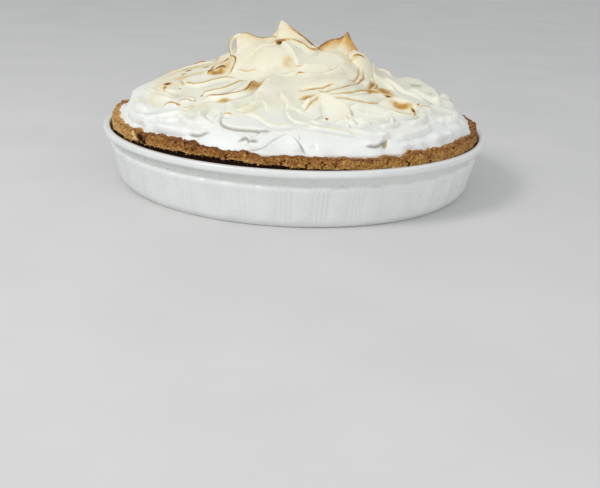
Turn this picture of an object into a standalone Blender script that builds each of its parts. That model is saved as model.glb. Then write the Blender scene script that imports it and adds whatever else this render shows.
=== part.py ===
"""Lemon meringue pie in its own white fluted baking dish.

Three solids: the dish, the baked crust with its filling, and the meringue heaped on it.
Metres, +Z up, the front faces -Y, the origin is the middle of the dish's foot.
Sizes below are in millimetres, and a mesh is scaled to metres when it is made.
"""

import math
from typing import NamedTuple

import bpy
import numpy as np

MM = 0.001
GAP = 0.35

# The dish
RIM_RADIUS = 132.0
DISH_HEIGHT = 38.0
RIM_INNER_RADIUS = 127.5
FLUTE_COUNT = 36
FLUTE_DEPTH = 0.9
# Across each repeat, a broad flute and then a low rib: (share of the width, share of the depth)
FLUTE_SHAPE = ((0.0, 0.0), (0.15, 0.85), (0.45, 0.85), (0.6, 0.0), (0.8, 0.4))
FLUTE_END = 3
FLUTE_TOP = 26.0
FLUTE_ARCH = 1.4
PLAIN_STEPS = 2 * FLUTE_COUNT
BAND_RADIUS = 126.6
BAND_SLOPE = 1.6
FOOT_RADIUS = 118.7
FOOT_RING_INNER = 98.0
FOOT_RECESS = 1.5
FLOOR_HEIGHT = 5.5
FLOOR_RADIUS = 108.0

# The crust: a solid of pastry and filling with a raised rim
CRUST_RADIUS = 126.3
CRUST_WALL = 8.5
CRUST_TOP = 44.2
FILLING_TOP = 40.5
SHRINK_DEPTH = 34.0
SHRINK_ANGLE = -114.0
SHRINK_SPREAD = 33.0
SHRINK_GAP = 3.2
CRUST_TRIANGLES = 1950
# The crust's top edge: at each angle, how many degrees wide a rise or dip is and its mm.
CRUST_BUMPS = (
    (-128, 20, 3.0), (-140, 1.8, -1.2), (-104, 4, 0.8), (-97, 5, -0.5), (-88, 6, 0.8), (-71, 4, -0.9),
    (-58.3, 1.5, -1.4), (-53.2, 3, 2.4), (-30, 5, 1.6), (-3, 3, 2.4), (178, 9, 2.0),
)

# The meringue: (radius, height) of its mound, from the crown to the crust
MOUND = ((0, 80), (30, 77.5), (55, 73), (80, 67), (98, 61), (110, 55.8), (117.5, 50), (121, 44.5))
MERINGUE_BED = 37.0
MERINGUE_RINGS = 120
MERINGUE_SPOKES = 460
MERINGUE_VOXEL = 1.6
MERINGUE_TRIANGLES = 4000
THINNEST_LIP = 3.0


class Ridge(NamedTuple):
    """A spatula's ridge on the mound, along a path of (u, v) chart points.

    left and right are the widths of its flanks, fall how steeply each drops from the crest,
    ends the share of the path over which it rises and dies away, and lean how far the crest
    is pushed to the path's left. clear wipes away that share of what lies under it.
    """

    path: tuple
    height: float
    left: float
    right: float
    fall: tuple = (1.4, 1.2)
    ends: tuple = (0.25, 0.25)
    lean: float = 0.0
    clear: float = 0.0


class Pillow(NamedTuple):
    """A soft swelling on the mound, or a hollow where height is negative."""

    centre: tuple
    size: tuple
    height: float
    turn: float = 0.0
    edge: float = 1.3


class Fin(NamedTuple):
    """A sheet of meringue pulled up from its root to a thin lip."""

    root: tuple
    lip: tuple
    bulge: float
    thick: tuple


class Loop(NamedTuple):
    """A ribbon of meringue that stands off the mound."""

    path: tuple
    widths: tuple
    thick: tuple


BODY = (
    Pillow((-3, 3), (60, 42), 17, edge=1.1),
    Pillow((43, -3), (10, 12), 7, edge=0.6),
    Pillow((14, 4), (12, 17), -12, edge=0.9),
    Pillow((-62, 24), (62, 60), 3, edge=1.2),
    Pillow((-68, -38), (48, 56), -2.4, edge=0.6),
    Pillow((14, -90), (22, 18), -2, edge=0.8),
    Pillow((24, -62), (30, 26), 4, edge=1.4),
    Pillow((74, -50), (26, 18), 3, turn=-10),
    Pillow((58, 12), (12, 12), 3.5, edge=1),
    Pillow((89, 31), (17, 16), 4.4, edge=1.2),
    Pillow((103, -12), (11, 12), 3, edge=1),
    Pillow((106, -54), (9, 10), 3, edge=1),
    Pillow((-112, 4), (12, 16), 1.2, edge=1),
    Pillow((-125, -2), (9, 30), -3.5, edge=0.7),
    Pillow((121, 8), (14, 30), -2.8, edge=0.7),
    Pillow((40, -44), (24, 34), 2.6, turn=-15, edge=0.8),
    Pillow((95, 8), (9, 9), 3.5, edge=0.9),
    Pillow((104, -2), (6, 8), 3, edge=0.8),
    Pillow((42, -31), (13, 13), 2.6, edge=1.5),
)
CROWN = (
    Pillow((-15, -21), (17, 11), 2.5, turn=5, edge=1),
    Ridge(((-32, -17), (-24, -12), (-16, -11)), 2, 9, 2, lean=-0.5),
    Ridge(((-19, -12), (-8, -9), (0, -12), (8, -16), (15, -13)), 3.4, 9, 1.6, (1.3, 1.1), (0.15, 0.15),
          -1),
    Ridge(((-11, -12), (-6, -19), (-2, -25), (1, -30)), 3, 10, 2.2, ends=(0.15, 0.3), lean=-0.7),
    Pillow((14, -20), (17, 8), -3, turn=8, edge=1),
    Ridge(((0, -30), (9, -30), (17, -28), (24, -30)), 2.6, 1.8, 6, (1.2, 1.4)),
    Ridge(((-12, -38), (0, -37), (11, -37), (23, -32), (31, -21), (37, -13)), 3, 2, 16, (1.2, 2.4),
          (0.25, 0.3), 0.8),
    Ridge(((-12, -30), (-17, -42), (-19, -55), (-25, -70)), 3.4, 9, 8, (1.5, 1.5)),
)
LEFT_SWOOPS = (
    Pillow((-66, -20), (15, 10), 3, turn=-5, edge=0.8),
    Pillow((-86, -18), (9, 8), 2, edge=0.9),
    Ridge(((-98, -8), (-95, -22), (-87, -32), (-78, -35)), 3.4, 12, 2.4, ends=(0.1, 0.3), lean=-0.6),
    Ridge(((-76, -27), (-67, -35.5), (-61, -36), (-53, -33), (-45, -31), (-37, -32)), 3, 11, 4,
          (1.1, 1.5), (0.12, 0.3), -0.6, 0.3),
    Ridge(((-62, -55), (-54, -55), (-47, -54), (-40, -48), (-36, -42), (-31, -37)), 2.8, 8, 4, (1.2, 1.6),
          (0.1, 0.3), -0.6, 0.3),
    Ridge(((-61, -62), (-50, -67), (-40, -67), (-34, -64.5), (-31, -60), (-29, -51), (-24, -41)), 3.6, 9,
          6, (1.4, 1.6), (0.15, 0.2), -0.8, 0.3),
    Ridge(((-60, -19), (-57, -14.5), (-53, -13.5), (-47, -17)), 2.4, 7, 3.6, (1.2, 1.2), (0.12, 0.15),
          -1),
    Ridge(((-106, -10), (-101, -28), (-91, -46), (-76, -59)), 4.6, 9, 5, (1.3, 1.5), lean=-0.6,
          clear=0.2),
    Ridge(((-109, -26), (-105, -44), (-95, -63)), 3.6, 6, 5, clear=0.1),
    Ridge(((-113, -36), (-106, -58), (-93, -78)), 3.4, 6, 6, clear=0.1),
    Ridge(((-101, -16), (-96, -32), (-86, -46), (-77, -52)), 2.4, 5, 3, (1.3, 1.4)),
    Ridge(((-88, -60), (-84, -58), (-80, -60), (-75, -66)), 2.4, 1.8, 5, (1.2, 1.5)),
    Ridge(((-98, -70), (-84, -77), (-67, -79)), 3.2, 7, 4, (1.3, 1.4)),
    Ridge(((-90, -76), (-80, -84), (-68, -86)), 2.4, 5, 4, (1.3, 1.4)),
    Ridge(((-75, -79), (-67, -93), (-54, -104)), 2.8, 7, 3, lean=-0.5),
    Ridge(((-90, -84), (-77, -95), (-62, -103)), 2.4, 8, 5),
    Ridge(((-104, -62), (-92, -82), (-76, -97)), 2.4, 6, 6),
)
MIDDLE = (
    Ridge(((-54, -76), (-59, -86), (-56, -97), (-49, -101)), 3.2, 3, 6, (1.2, 1.5)),
    Ridge(((-53, -90), (-48, -89), (-46, -95), (-51, -99)), 2, 2, 3),
    Ridge(((-44, -74), (-40, -84), (-44, -95)), 2.6, 7, 3),
    Ridge(((-37, -88), (-28, -88), (-20, -82), (-17, -92)), 3, 6, 2.2, lean=-0.6),
    Ridge(((-24, -66), (-24, -77), (-32, -86)), 2.4, 6, 3),
    Ridge(((-31, -91), (-22, -99), (-14, -108), (-4, -108), (3, -105)), 2.2, 11, 3.4, ends=(0.2, 0.2),
          lean=-0.5),
    Ridge(((2, -105), (14, -108), (26, -109), (40, -107)), 2, 8, 3.6, ends=(0.2, 0.3), lean=-0.4),
    Ridge(((-44, -95), (-43, -103), (-35, -108), (-24, -111), (-14, -111)), 2, 8, 2, (1.2, 1),
          (0.12, 0.1), -0.2),
    Ridge(((-18, -112), (-22, -117), (-30, -124)), 2, 7, 2, (1.3, 1.1)),
    Ridge(((-35, -117), (-29, -116), (-26, -119), (-21, -119)), 2, 3, 1.8),
    Ridge(((-32, -127), (-18, -125), (-8, -119), (-3, -117), (1, -121), (7, -130)), 3, 1.4, 9, (1.1, 1.4),
          (0.15, 0.1)),
    Ridge(((12, -119), (14, -126), (21, -128)), -2, 2.5, 4),
    Ridge(((-66, -103), (-60, -107), (-52, -106)), 2, 5, 1.8),
)
FAN = (
    Pillow((22, -48), (26, 12), 2, turn=25, edge=1.2),
    Ridge(((1, -64), (7, -62.5), (15, -61.5), (28, -57)), -2.2, 3.4, 3.4, (1.6, 1.6), (0.12, 0.6)),
    Ridge(((12, -67), (20, -65), (28, -60), (35.5, -51), (41.5, -38), (45, -26), (44.5, -12)), -3, 3, 3,
          (1.6, 1.6), (0.1, 0.12)),
    Ridge(((29, -54), (36, -44), (40, -32), (41, -20), (41, -12)), -2, 2.2, 2.2, (1.5, 1.5), (0.4, 0.15)),
    Ridge(((12, -71), (28, -68), (38, -60), (46, -48), (49.5, -36), (50, -22), (48, -12)), -2.6, 2.6, 2.6,
          (1.6, 1.6), (0.3, 0.12)),
    Ridge(((46, -50), (52, -41), (54, -29), (52, -14)), -2.4, 2.4, 2.4, (1.6, 1.6)),
    Ridge(((0, -76), (6, -73.5), (12, -71), (20, -72), (30, -72), (44, -70), (54, -63), (62, -61)), -2.4,
          2.6, 2.6, (1.7, 1.7), (0.12, 0.2)),
    Ridge(((-7, -60), (-9, -70), (-5, -80), (-5, -88)), 2.8, 8, 2.2, ends=(0.3, 0.2), lean=-0.5),
)
HEART = (
    Ridge(((-5, -86), (-4, -96), (1, -103), (12, -107)), 2.2, 8, 2.6, (1.2, 1.2), (0.2, 0.2), -0.5),
    Ridge(((3, -81), (9, -79), (16, -75), (24, -79), (30, -83), (35, -91)), 4.4, 2.2, 12, (1.1, 1.3),
          (0.12, 0.15), 0.6),
    Ridge(((16, -79), (17, -86), (18, -94)), -2.4, 1.8, 2.4, ends=(0.25, 0.2)),
    Ridge(((24, -99), (29, -98), (34, -105)), 2, 2, 4),
)
RIGHT = (
    Ridge(((33, -97), (38, -93), (44, -96), (47, -92)), 2.6, 2, 3, ends=(0.2, 0.25)),
    Ridge(((32, -82), (42, -77), (53, -77), (60, -84), (60, -91)), 3.4, 2.4, 9, (1.2, 1.4), (0.2, 0.2),
          0.4),
    Ridge(((40, -85), (50, -84), (60, -86)), 2, 2, 4),
    Ridge(((52, -66), (61, -59), (70, -59), (80, -61)), 3.4, 3, 7, (1.2, 1.3), (0.2, 0.1)),
    Ridge(((57, -72), (65, -76), (72, -74), (78, -68)), 3, 7, 2.2, (1.2, 1.2), (0.2, 0.1), -0.7),
    Ridge(((77, -62), (82, -57), (90, -53)), 2.4, 2, 5, ends=(0.12, 0.3)),
    Ridge(((52, -96), (60, -91), (67, -85)), 2.4, 4, 2.2),
    Ridge(((60, -101), (70, -96), (81, -84), (87, -72)), 2.4, 8, 4, (1.4, 1.4), lean=-0.4),
    Ridge(((72, -84), (80, -74), (86, -62)), 2.4, 5, 3, (1.4, 1.3)),
    Ridge(((32, -106), (46, -106), (60, -101)), 2.4, 7, 3, lean=-0.4),
    Ridge(((66, -106), (78, -100), (88, -90)), 2.2, 6, 4),
    Ridge(((43, -114), (50, -112), (56, -105), (59, -105)), 2.6, 6, 2, (1.2, 1.1), (0.15, 0.15), -0.4),
    Pillow((56, -109), (2.5, 5), -3, edge=1),
    Ridge(((50, 4), (54, -12), (60, -27), (68, -40)), 3, 13, 2.4, ends=(0.1, 0.25), lean=-0.5),
    Ridge(((57, -14), (66, -26), (76, -34), (88, -38)), 3, 12, 3, ends=(0.2, 0.25), lean=-0.5),
    Ridge(((78, -12), (88, -22), (100, -30)), 2.4, 9, 4, ends=(0.2, 0.25)),
    Ridge(((90, -28), (100, -24), (112, -18)), 2.8, 6, 5),
    Ridge(((88, -44), (100, -40), (113, -34)), 2.4, 6, 4),
    Ridge(((90, -62), (100, -56), (110, -44)), 2.8, 6, 5),
    Ridge(((86, -88), (97, -78), (106, -64)), 2.6, 6, 5),
)
CROWN_FINS = (
    Fin(((-42, 2, 84), (-26, 3, 86), (-12, 4, 88)),
        ((-42, 0, 96.5), (-36, 0, 99), (-26, 1, 96), (-16, 2, 97)), 2, (13, 1.6)),
    Fin(((-18, 4, 88), (-4, 2, 88), (14, -2, 83)),
        ((-18, 2, 97), (-15, 2, 100.5), (-12.4, 2, 108.3), (-11.4, 2, 108.7), (-4, 1, 103), (5, 0, 97),
         (14, -1, 90)),
        -1, (12, 1.5)),
    Fin(((13, 1, 82), (26, 0, 85), (44, -2, 82)),
        ((13, 0, 90.5), (21, 2, 96), (29, 3, 98), (32.6, 2, 101.6), (33.6, 2, 102), (36, 1, 97),
         (42, -1, 89), (48, -3, 86)),
        -2, (14, 1.5)),
)
CROWN_LOOPS = (
    Loop(((-36, 1, 96.5), (-40, 0.5, 97.2), (-44, -0.5, 95.2), (-46, -1.5, 92), (-46, -2.5, 88.5),
          (-44.6, -4, 84.5), (-44, -5.5, 81), (-47, -8, 75)),
         (2, 4, 5, 5, 5, 6, 8, 10), (1.6, 2.6, 2.6, 2, 1.8, 2.2, 2.6, 4)),
)


def clear_scene():
    for old in list(bpy.data.objects):
        bpy.data.objects.remove(old)


def principled(name, colour, roughness):
    made = bpy.data.materials.new(name)
    made.use_nodes = True
    shader = made.node_tree.nodes["Principled BSDF"]
    shader.inputs["Base Color"].default_value = (*colour, 1.0)
    shader.inputs["Roughness"].default_value = roughness
    shader.inputs["Metallic"].default_value = 0.0
    return made


def add_object(name, points, faces, material):
    """A new object from points in millimetres."""
    mesh = bpy.data.meshes.new(name)
    mesh.from_pydata((np.asarray(points, float) * MM).tolist(), [], faces)
    mesh.materials.append(material)
    mesh.shade_smooth()
    made = bpy.data.objects.new(name, mesh)
    bpy.context.scene.collection.objects.link(made)
    return made


def apply_modifiers(obj):
    """Replaces an object's mesh with what its modifiers make of it."""
    bpy.context.view_layer.update()
    graph = bpy.context.evaluated_depsgraph_get()
    made = bpy.data.meshes.new_from_object(obj.evaluated_get(graph), depsgraph=graph)
    obj.modifiers.clear()
    obj.data = made


def decimate(obj, triangles):
    """Collapses edges until about this many triangles are left."""
    obj.data.calc_loop_triangles()
    fewer = obj.modifiers.new("fewer_triangles", "DECIMATE")
    fewer.ratio = min(1.0, triangles / len(obj.data.loop_triangles))
    fewer.use_collapse_triangulate = True
    apply_modifiers(obj)


def ease(x):
    """Smooth step from 0 to 1."""
    x = np.clip(x, 0.0, 1.0)
    return x * x * (3 - 2 * x)


def smooth_path(points, step):
    """Points about step apart on a Catmull-Rom curve through the given ones."""
    p = np.array(points, float)
    q = np.vstack([2 * p[0] - p[1], p, 2 * p[-1] - p[-2]])
    runs = []
    for a, b, c, d in zip(q, q[1:], q[2:], q[3:]):
        count = max(2, int(np.linalg.norm(c - b) / step) + 1)
        t = (np.arange(count) / count)[:, None]
        bend = 2 * a - 5 * b + 4 * c - d
        runs.append(0.5 * (2 * b + (c - a) * t + bend * t**2 + (3 * b - a - 3 * c + d) * t**3))
    return np.vstack(runs + [p[-1:]])


def spaced_path(points, count):
    """This many points, evenly spaced along the smooth path."""
    p = smooth_path(points, 0.5)
    lengths = np.linalg.norm(np.diff(p, axis=0), axis=1)
    s = np.concatenate([[0], np.cumsum(lengths)])
    even = np.linspace(0, s[-1], count)
    return np.stack([np.interp(even, s, p[:, k]) for k in range(3)], axis=1)


# ---------------------------------------------------------------- dish


def plain_points(radius, height):
    """One turn of a plain ring."""
    turn = np.arange(PLAIN_STEPS) * 2 * math.pi / PLAIN_STEPS
    return [(radius * math.cos(a), radius * math.sin(a), height) for a in turn]


def fluted_points(radius, height, arch):
    """One turn of the fluted wall: flutes and ribs bow out, and the wall between them dips by arch."""
    points = []
    for repeat in range(FLUTE_COUNT):
        for share, bow in FLUTE_SHAPE:
            turn = (repeat + share) * 2 * math.pi / FLUTE_COUNT
            r = radius + FLUTE_DEPTH * bow
            points.append((r * math.cos(turn), r * math.sin(turn), height - arch * (1 - bow)))
    return points


def band_faces(low, high, steps):
    """Quads between two rings of the same steps, given each ring's first index."""
    around = [(i, (i + 1) % steps) for i in range(steps)]
    return [(low + i, low + j, high + j, high + i) for i, j in around]


def fan_faces(plain, fluted, fluted_above):
    """A face over each flute and one over each rib, between a plain ring and a fluted one."""
    faces = []
    across = len(FLUTE_SHAPE)
    for repeat in range(FLUTE_COUNT):
        for half, (first, last) in enumerate(((0, FLUTE_END), (FLUTE_END, across))):
            straight = [plain + (2 * repeat + half + k) % PLAIN_STEPS for k in (0, 1)]
            bowed = [fluted + (repeat * across + k) % (FLUTE_COUNT * across) for k in range(first, last + 1)]
            face = straight + bowed[::-1]
            faces.append(tuple(face if fluted_above else face[::-1]))
    return faces


def make_dish():
    """The dish, turned from the middle of its foot round the outside to its floor."""
    below = (
        (FOOT_RING_INNER - 2, FOOT_RECESS),
        (FOOT_RING_INNER, 0.0),
        (FOOT_RADIUS - 1.5, 0.0),
        (FOOT_RADIUS, 0.7),
    )
    above = (
        (BAND_RADIUS - BAND_SLOPE / 2, FLUTE_TOP + 1.3),
        (BAND_RADIUS + BAND_SLOPE / 2, DISH_HEIGHT - 4.6),
        (RIM_RADIUS - 2.0, DISH_HEIGHT - 4.0),
        (RIM_RADIUS, DISH_HEIGHT - 1.9),
        (RIM_RADIUS - 1.1, DISH_HEIGHT - 0.4),
        (RIM_RADIUS - 2.3, DISH_HEIGHT),
        (RIM_INNER_RADIUS, DISH_HEIGHT - 1.3),
        (RIM_INNER_RADIUS - 1.0, DISH_HEIGHT - 5.0),
        (RIM_INNER_RADIUS - 5.5, 12.0),
        (RIM_INNER_RADIUS - 10.5, FLOOR_HEIGHT + 1.8),
        (FLOOR_RADIUS, FLOOR_HEIGHT),
    )
    fluted = (
        (FOOT_RADIUS + 1.9, 2.6, 0.0),
        (BAND_RADIUS - FLUTE_DEPTH * 0.2, FLUTE_TOP, FLUTE_ARCH),
    )
    points = [(0.0, 0.0, FOOT_RECESS)]
    faces = []
    start = len(points)
    for radius, height in below:
        points += plain_points(radius, height)
    faces += [(0, start + (i + 1) % PLAIN_STEPS, start + i) for i in range(PLAIN_STEPS)]
    for _ in below[1:]:
        faces += band_faces(start, start + PLAIN_STEPS, PLAIN_STEPS)
        start += PLAIN_STEPS
    wall_steps = FLUTE_COUNT * len(FLUTE_SHAPE)
    wall = len(points)
    for radius, height, arch in fluted:
        points += fluted_points(radius, height, arch)
    faces += fan_faces(start, wall, fluted_above=True)
    faces += band_faces(wall, wall + wall_steps, wall_steps)
    wall += wall_steps
    start = len(points)
    for radius, height in above:
        points += plain_points(radius, height)
    faces += fan_faces(start, wall, fluted_above=False)
    for _ in above[1:]:
        faces += band_faces(start, start + PLAIN_STEPS, PLAIN_STEPS)
        start += PLAIN_STEPS
    points.append((0.0, 0.0, FLOOR_HEIGHT))
    centre = len(points) - 1
    faces += [(start + i, start + (i + 1) % PLAIN_STEPS, centre) for i in range(PLAIN_STEPS)]
    glaze = principled("white_glaze", (0.83, 0.84, 0.85), 0.12)
    return add_object("dish", points, faces, glaze)


# ---------------------------------------------------------------- crust


def waves(angle, seed, counts):
    """Smooth unevenness round the pie, about -1 to 1, made of whole waves."""
    rng = np.random.default_rng(seed)
    total = np.zeros_like(angle)
    for count in counts:
        total += np.sin(count * angle + rng.uniform(0, 2 * math.pi)) / math.sqrt(len(counts))
    return total


def turned_from(angle, place):
    """Degrees from a place on the rim, the short way round."""
    return (np.degrees(angle) - place + 180) % 360 - 180


def crust_edge(angle):
    """The crust's outer radius, top height and wall thickness at each angle."""
    shrunk = np.exp(-((turned_from(angle, SHRINK_ANGLE) / SHRINK_SPREAD) ** 2))
    outer = CRUST_RADIUS - SHRINK_GAP * shrunk - 0.35 + 0.35 * waves(angle, 3, (17, 29, 41))
    top = CRUST_TOP + 0.5 * waves(angle, 5, (22, 37, 58))
    for place, width, rise in CRUST_BUMPS:
        top = top + rise * np.exp(-((turned_from(angle, place) / width) ** 2))
    wall = CRUST_WALL + 0.8 * waves(angle, 8, (9, 21, 33))
    return outer, top, wall


def make_crust():
    """Pastry and filling as one solid: a disc that fills the dish, with a raised rim."""
    steps = 240
    angle = np.arange(steps) * 2 * math.pi / steps
    outer, top, wall = crust_edge(angle)
    inside = RIM_INNER_RADIUS - 1.4
    even = np.ones(steps)
    rows = (
        ((FLOOR_RADIUS - 1.5) * even, (FLOOR_HEIGHT + GAP) * even),
        ((inside - 10.5) * even, (FLOOR_HEIGHT + 3.2) * even),
        ((inside - 5.4) * even, 13.0 * even),
        ((inside - 1.9) * even, (SHRINK_DEPTH - 2.0) * even),
        (np.minimum(outer, inside - 0.6) - 1.2, SHRINK_DEPTH * even),
        (outer, (SHRINK_DEPTH + 3.5) * even),
        (outer, top - 3.2),
        (outer - 1.4, top - 0.8),
        (outer - 0.42 * wall, top),
        (outer - 0.8 * wall, top - 0.8),
        (outer - wall, FILLING_TOP + 0.35 * (top - FILLING_TOP)),
        (outer - wall - 1.5, FILLING_TOP * even),
    )
    points = [(0.0, 0.0, FLOOR_HEIGHT + GAP)]
    for radius, height in rows:
        points += list(zip(radius * np.cos(angle), radius * np.sin(angle), height))
    points.append((0.0, 0.0, FILLING_TOP))
    last = len(points) - 1 - steps
    faces = [(0, 1 + (i + 1) % steps, 1 + i) for i in range(steps)]
    for row in range(len(rows) - 1):
        faces += band_faces(1 + row * steps, 1 + (row + 1) * steps, steps)
    faces += [(last + i, last + (i + 1) % steps, len(points) - 1) for i in range(steps)]
    pastry = principled("baked_pastry", (0.36, 0.19, 0.075), 0.75)
    crust = add_object("crust", points, faces, pastry)
    decimate(crust, CRUST_TRIANGLES)
    return crust


# ---------------------------------------------------------------- meringue


class Chart:
    """Unrolls the mound: (u, v) is measured along its surface from the crown, v to the back."""

    def __init__(self):
        line = smooth_path(MOUND, 0.5)
        self.radius, self.height = line[:, 0], line[:, 1]
        steps = np.hypot(np.diff(self.radius), np.diff(self.height))
        self.length = np.concatenate([[0], np.cumsum(steps)])
        self.reach = self.length[-1]

    def place(self, u, v):
        """Each chart point's place, outward normal, and directions of u and v."""
        s = np.hypot(u, v)
        turn = np.arctan2(v, u)
        radius = np.interp(s, self.length, self.radius)
        height = np.interp(s, self.length, self.height)
        out = np.interp(s + 1, self.length, self.radius) - np.interp(s - 1, self.length, self.radius)
        up = np.interp(s + 1, self.length, self.height) - np.interp(s - 1, self.length, self.height)
        slope = np.hypot(out, up)
        out, up = out / slope, up / slope
        c, n = np.cos(turn), np.sin(turn)
        place = np.stack([radius * c, radius * n, height], axis=1)
        normal = np.stack([-up * c, -up * n, out], axis=1)
        outward = np.stack([out * c, out * n, up], axis=1)
        around = np.stack([-n, c, np.zeros_like(n)], axis=1)
        along_u = outward * c[:, None] - around * n[:, None]
        along_v = outward * n[:, None] + around * c[:, None]
        return place, normal, along_u, along_v


def nearest_on_path(u, v, path):
    """Each point's signed distance from a path, left being positive, and its share along it."""
    start, step = path[:-1], np.diff(path, axis=0)
    lengths = np.linalg.norm(step, axis=1)
    before = np.concatenate([[0], np.cumsum(lengths)])
    best = np.full(u.shape, np.inf)
    side = np.ones(u.shape)
    share = np.zeros(u.shape)
    for (a, b), (p, q), length, done in zip(start, step, lengths, before):
        t = np.clip(((u - a) * p + (v - b) * q) / length**2, 0, 1)
        apart = (u - a - t * p) ** 2 + (v - b - t * q) ** 2
        closer = apart < best
        best = np.where(closer, apart, best)
        side = np.where(closer, np.sign(p * (v - b) - q * (u - a)), side)
        share = np.where(closer, (done + t * length) / before[-1], share)
    return np.sqrt(best) * side, share


class Relief:
    """Heights above the mound, and sideways pushes, at a set of chart points."""

    def __init__(self, u, v):
        self.u, self.v = u, v
        self.rise = np.zeros(u.shape)
        self.push = np.zeros((len(u), 2))

    def pillow(self, p):
        c, n = math.cos(math.radians(p.turn)), math.sin(math.radians(p.turn))
        u, v = self.u - p.centre[0], self.v - p.centre[1]
        apart = ((u * c + v * n) / p.size[0]) ** 2 + ((v * c - u * n) / p.size[1]) ** 2
        self.rise += p.height * np.clip(1 - apart, 0, 1) ** p.edge

    def ridge(self, r):
        path = smooth_path(r.path, 1.5)
        reach = max(r.left, r.right) * 1.3 + 2
        low, high = path.min(axis=0) - reach, path.max(axis=0) + reach
        near = np.nonzero((self.u > low[0]) & (self.u < high[0]) & (self.v > low[1]) & (self.v < high[1]))[0]
        across, share = nearest_on_path(self.u[near], self.v[near], path)
        swell = ease(share / r.ends[0]) ** 0.8 * ease((1 - share) / r.ends[1]) ** 0.8
        narrow = 0.35 + 0.65 * swell
        width = np.where(across >= 0, r.left, r.right) * narrow
        inside = np.clip(1 - np.abs(across) / width, 0, 1)
        flank = np.where(across >= 0, inside ** r.fall[0], inside ** r.fall[1])
        wiped = np.clip((1 - np.abs(across) / (1.25 * width)) * 2.2, 0, 1)
        kept = 1 - ease(wiped) * swell * r.clear
        self.rise[near] = self.rise[near] * kept + r.height * swell * flank
        along = np.gradient(path, axis=0)
        along /= np.linalg.norm(along, axis=1)[:, None]
        along = along[(share * (len(path) - 1)).astype(int)]
        lean = (r.lean * swell * flank**2)[:, None]
        leftward = np.stack([-along[:, 1], along[:, 0]], axis=1)
        self.push[near] = self.push[near] * kept[:, None] + leftward * lean

    def add(self, features):
        for feature in features:
            if isinstance(feature, Pillow):
                self.pillow(feature)
            else:
                self.ridge(feature)


def swirls():
    """Ridges for the sides and back: shingled swoops with their lips downhill, as a spatula leaves."""
    rng = np.random.default_rng(21)
    made = []
    for reach, step, length in ((46, 38, 44), (66, 30, 56), (86, 25, 58), (103, 21, 50), (114, 18, 38)):
        for turn in np.arange(44, 142, step) + rng.uniform(0, step / 2):
            slope = rng.choice((-1, 1)) * rng.uniform(3, 15)
            bulge = rng.uniform(-3, 8)
            path = []
            for share in np.linspace(-1, 1, 5):
                bend = math.radians(turn) + share * length / 2 / reach
                away = reach + slope * share + bulge * (0.5 - share**2)
                path.append((away * math.cos(bend), away * math.sin(bend)))
            height = rng.uniform(2, 5) * (0.6 if reach < 50 else 1)
            widths = rng.uniform(9, 15), rng.uniform(2.6, 5)
            made.append(Ridge(tuple(path), height, *widths, (1.3, 1.3), (0.2, 0.3), -0.8, 0.15))
    for _ in range(26):
        turn, away = math.radians(rng.uniform(30, 150)), rng.uniform(50, 112)
        centre = (away * math.cos(turn), away * math.sin(turn))
        size = (rng.uniform(7, 13), rng.uniform(5, 9))
        made.append(Pillow(centre, size, rng.uniform(1, 2.6), rng.uniform(0, 180), 0.9))
    return made


def mound_mesh(rings, spokes, chart):
    """Points and faces of the swept mound, closed underneath by its bed on the crust."""
    s = np.linspace(0, chart.reach, rings + 1)[1:]
    turn = np.arange(spokes) * 2 * math.pi / spokes
    u = np.concatenate([[0], np.outer(s, np.cos(turn)).ravel()])
    v = np.concatenate([[0], np.outer(s, np.sin(turn)).ravel()])
    relief = Relief(u, v)
    for features in (BODY, swirls(), CROWN, LEFT_SWOOPS, MIDDLE, FAN, HEART, RIGHT):
        relief.add(features)
    place, normal, along_u, along_v = chart.place(u, v)
    edge = ease((chart.reach - np.hypot(u, v)) / 6)[:, None]
    moved = normal * relief.rise[:, None] + along_u * relief.push[:, :1] + along_v * relief.push[:, 1:]
    top = place + moved * edge
    bed = top[-spokes:] * (0.98, 0.98, 0) + (0, 0, MERINGUE_BED)
    points = np.vstack([top, bed, [[0, 0, MERINGUE_BED]]])
    faces = [(0, 1 + i, 1 + (i + 1) % spokes) for i in range(spokes)]
    for ring in range(rings):
        faces += band_faces(1 + (ring + 1) * spokes, 1 + ring * spokes, spokes)
    last = len(points) - 1 - spokes
    faces += [(last + (i + 1) % spokes, last + i, len(points) - 1) for i in range(spokes)]
    return points, faces


def fin_mesh(fin, across=40, up=16):
    """A closed sheet between its root and its lip, bulging to the front."""
    root, lip = spaced_path(fin.root, across), spaced_path(fin.lip, across)
    s = np.linspace(0, 1, up)[None, :, None]
    middle = root[:, None] * (1 - s) + lip[:, None] * s
    middle[:, :, 1] -= fin.bulge * (4 * s * (1 - s))[:, :, 0]
    normal = np.cross(np.gradient(middle, axis=0), np.gradient(middle, axis=1))
    normal /= np.linalg.norm(normal, axis=2)[:, :, None]
    thick = np.maximum(fin.thick[1] + (fin.thick[0] - fin.thick[1]) * (1 - s) ** 1.3, THINNEST_LIP)
    front, back = middle + normal * thick / 2, middle - normal * thick / 2
    points = np.vstack([front.reshape(-1, 3), back.reshape(-1, 3)])
    half = across * up
    faces = []
    for i in range(across - 1):
        for j in range(up - 1):
            quad = (i * up + j, (i + 1) * up + j, (i + 1) * up + j + 1, i * up + j + 1)
            faces += [quad, tuple(half + k for k in quad[::-1])]
    edge = [i * up for i in range(across)] + [(across - 1) * up + j for j in range(1, up)]
    edge += [i * up + up - 1 for i in range(across - 2, -1, -1)] + list(range(up - 2, 0, -1))
    faces += [(a, half + a, half + b, b) for a, b in zip(edge, edge[1:] + edge[:1])]
    return points, faces


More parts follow.
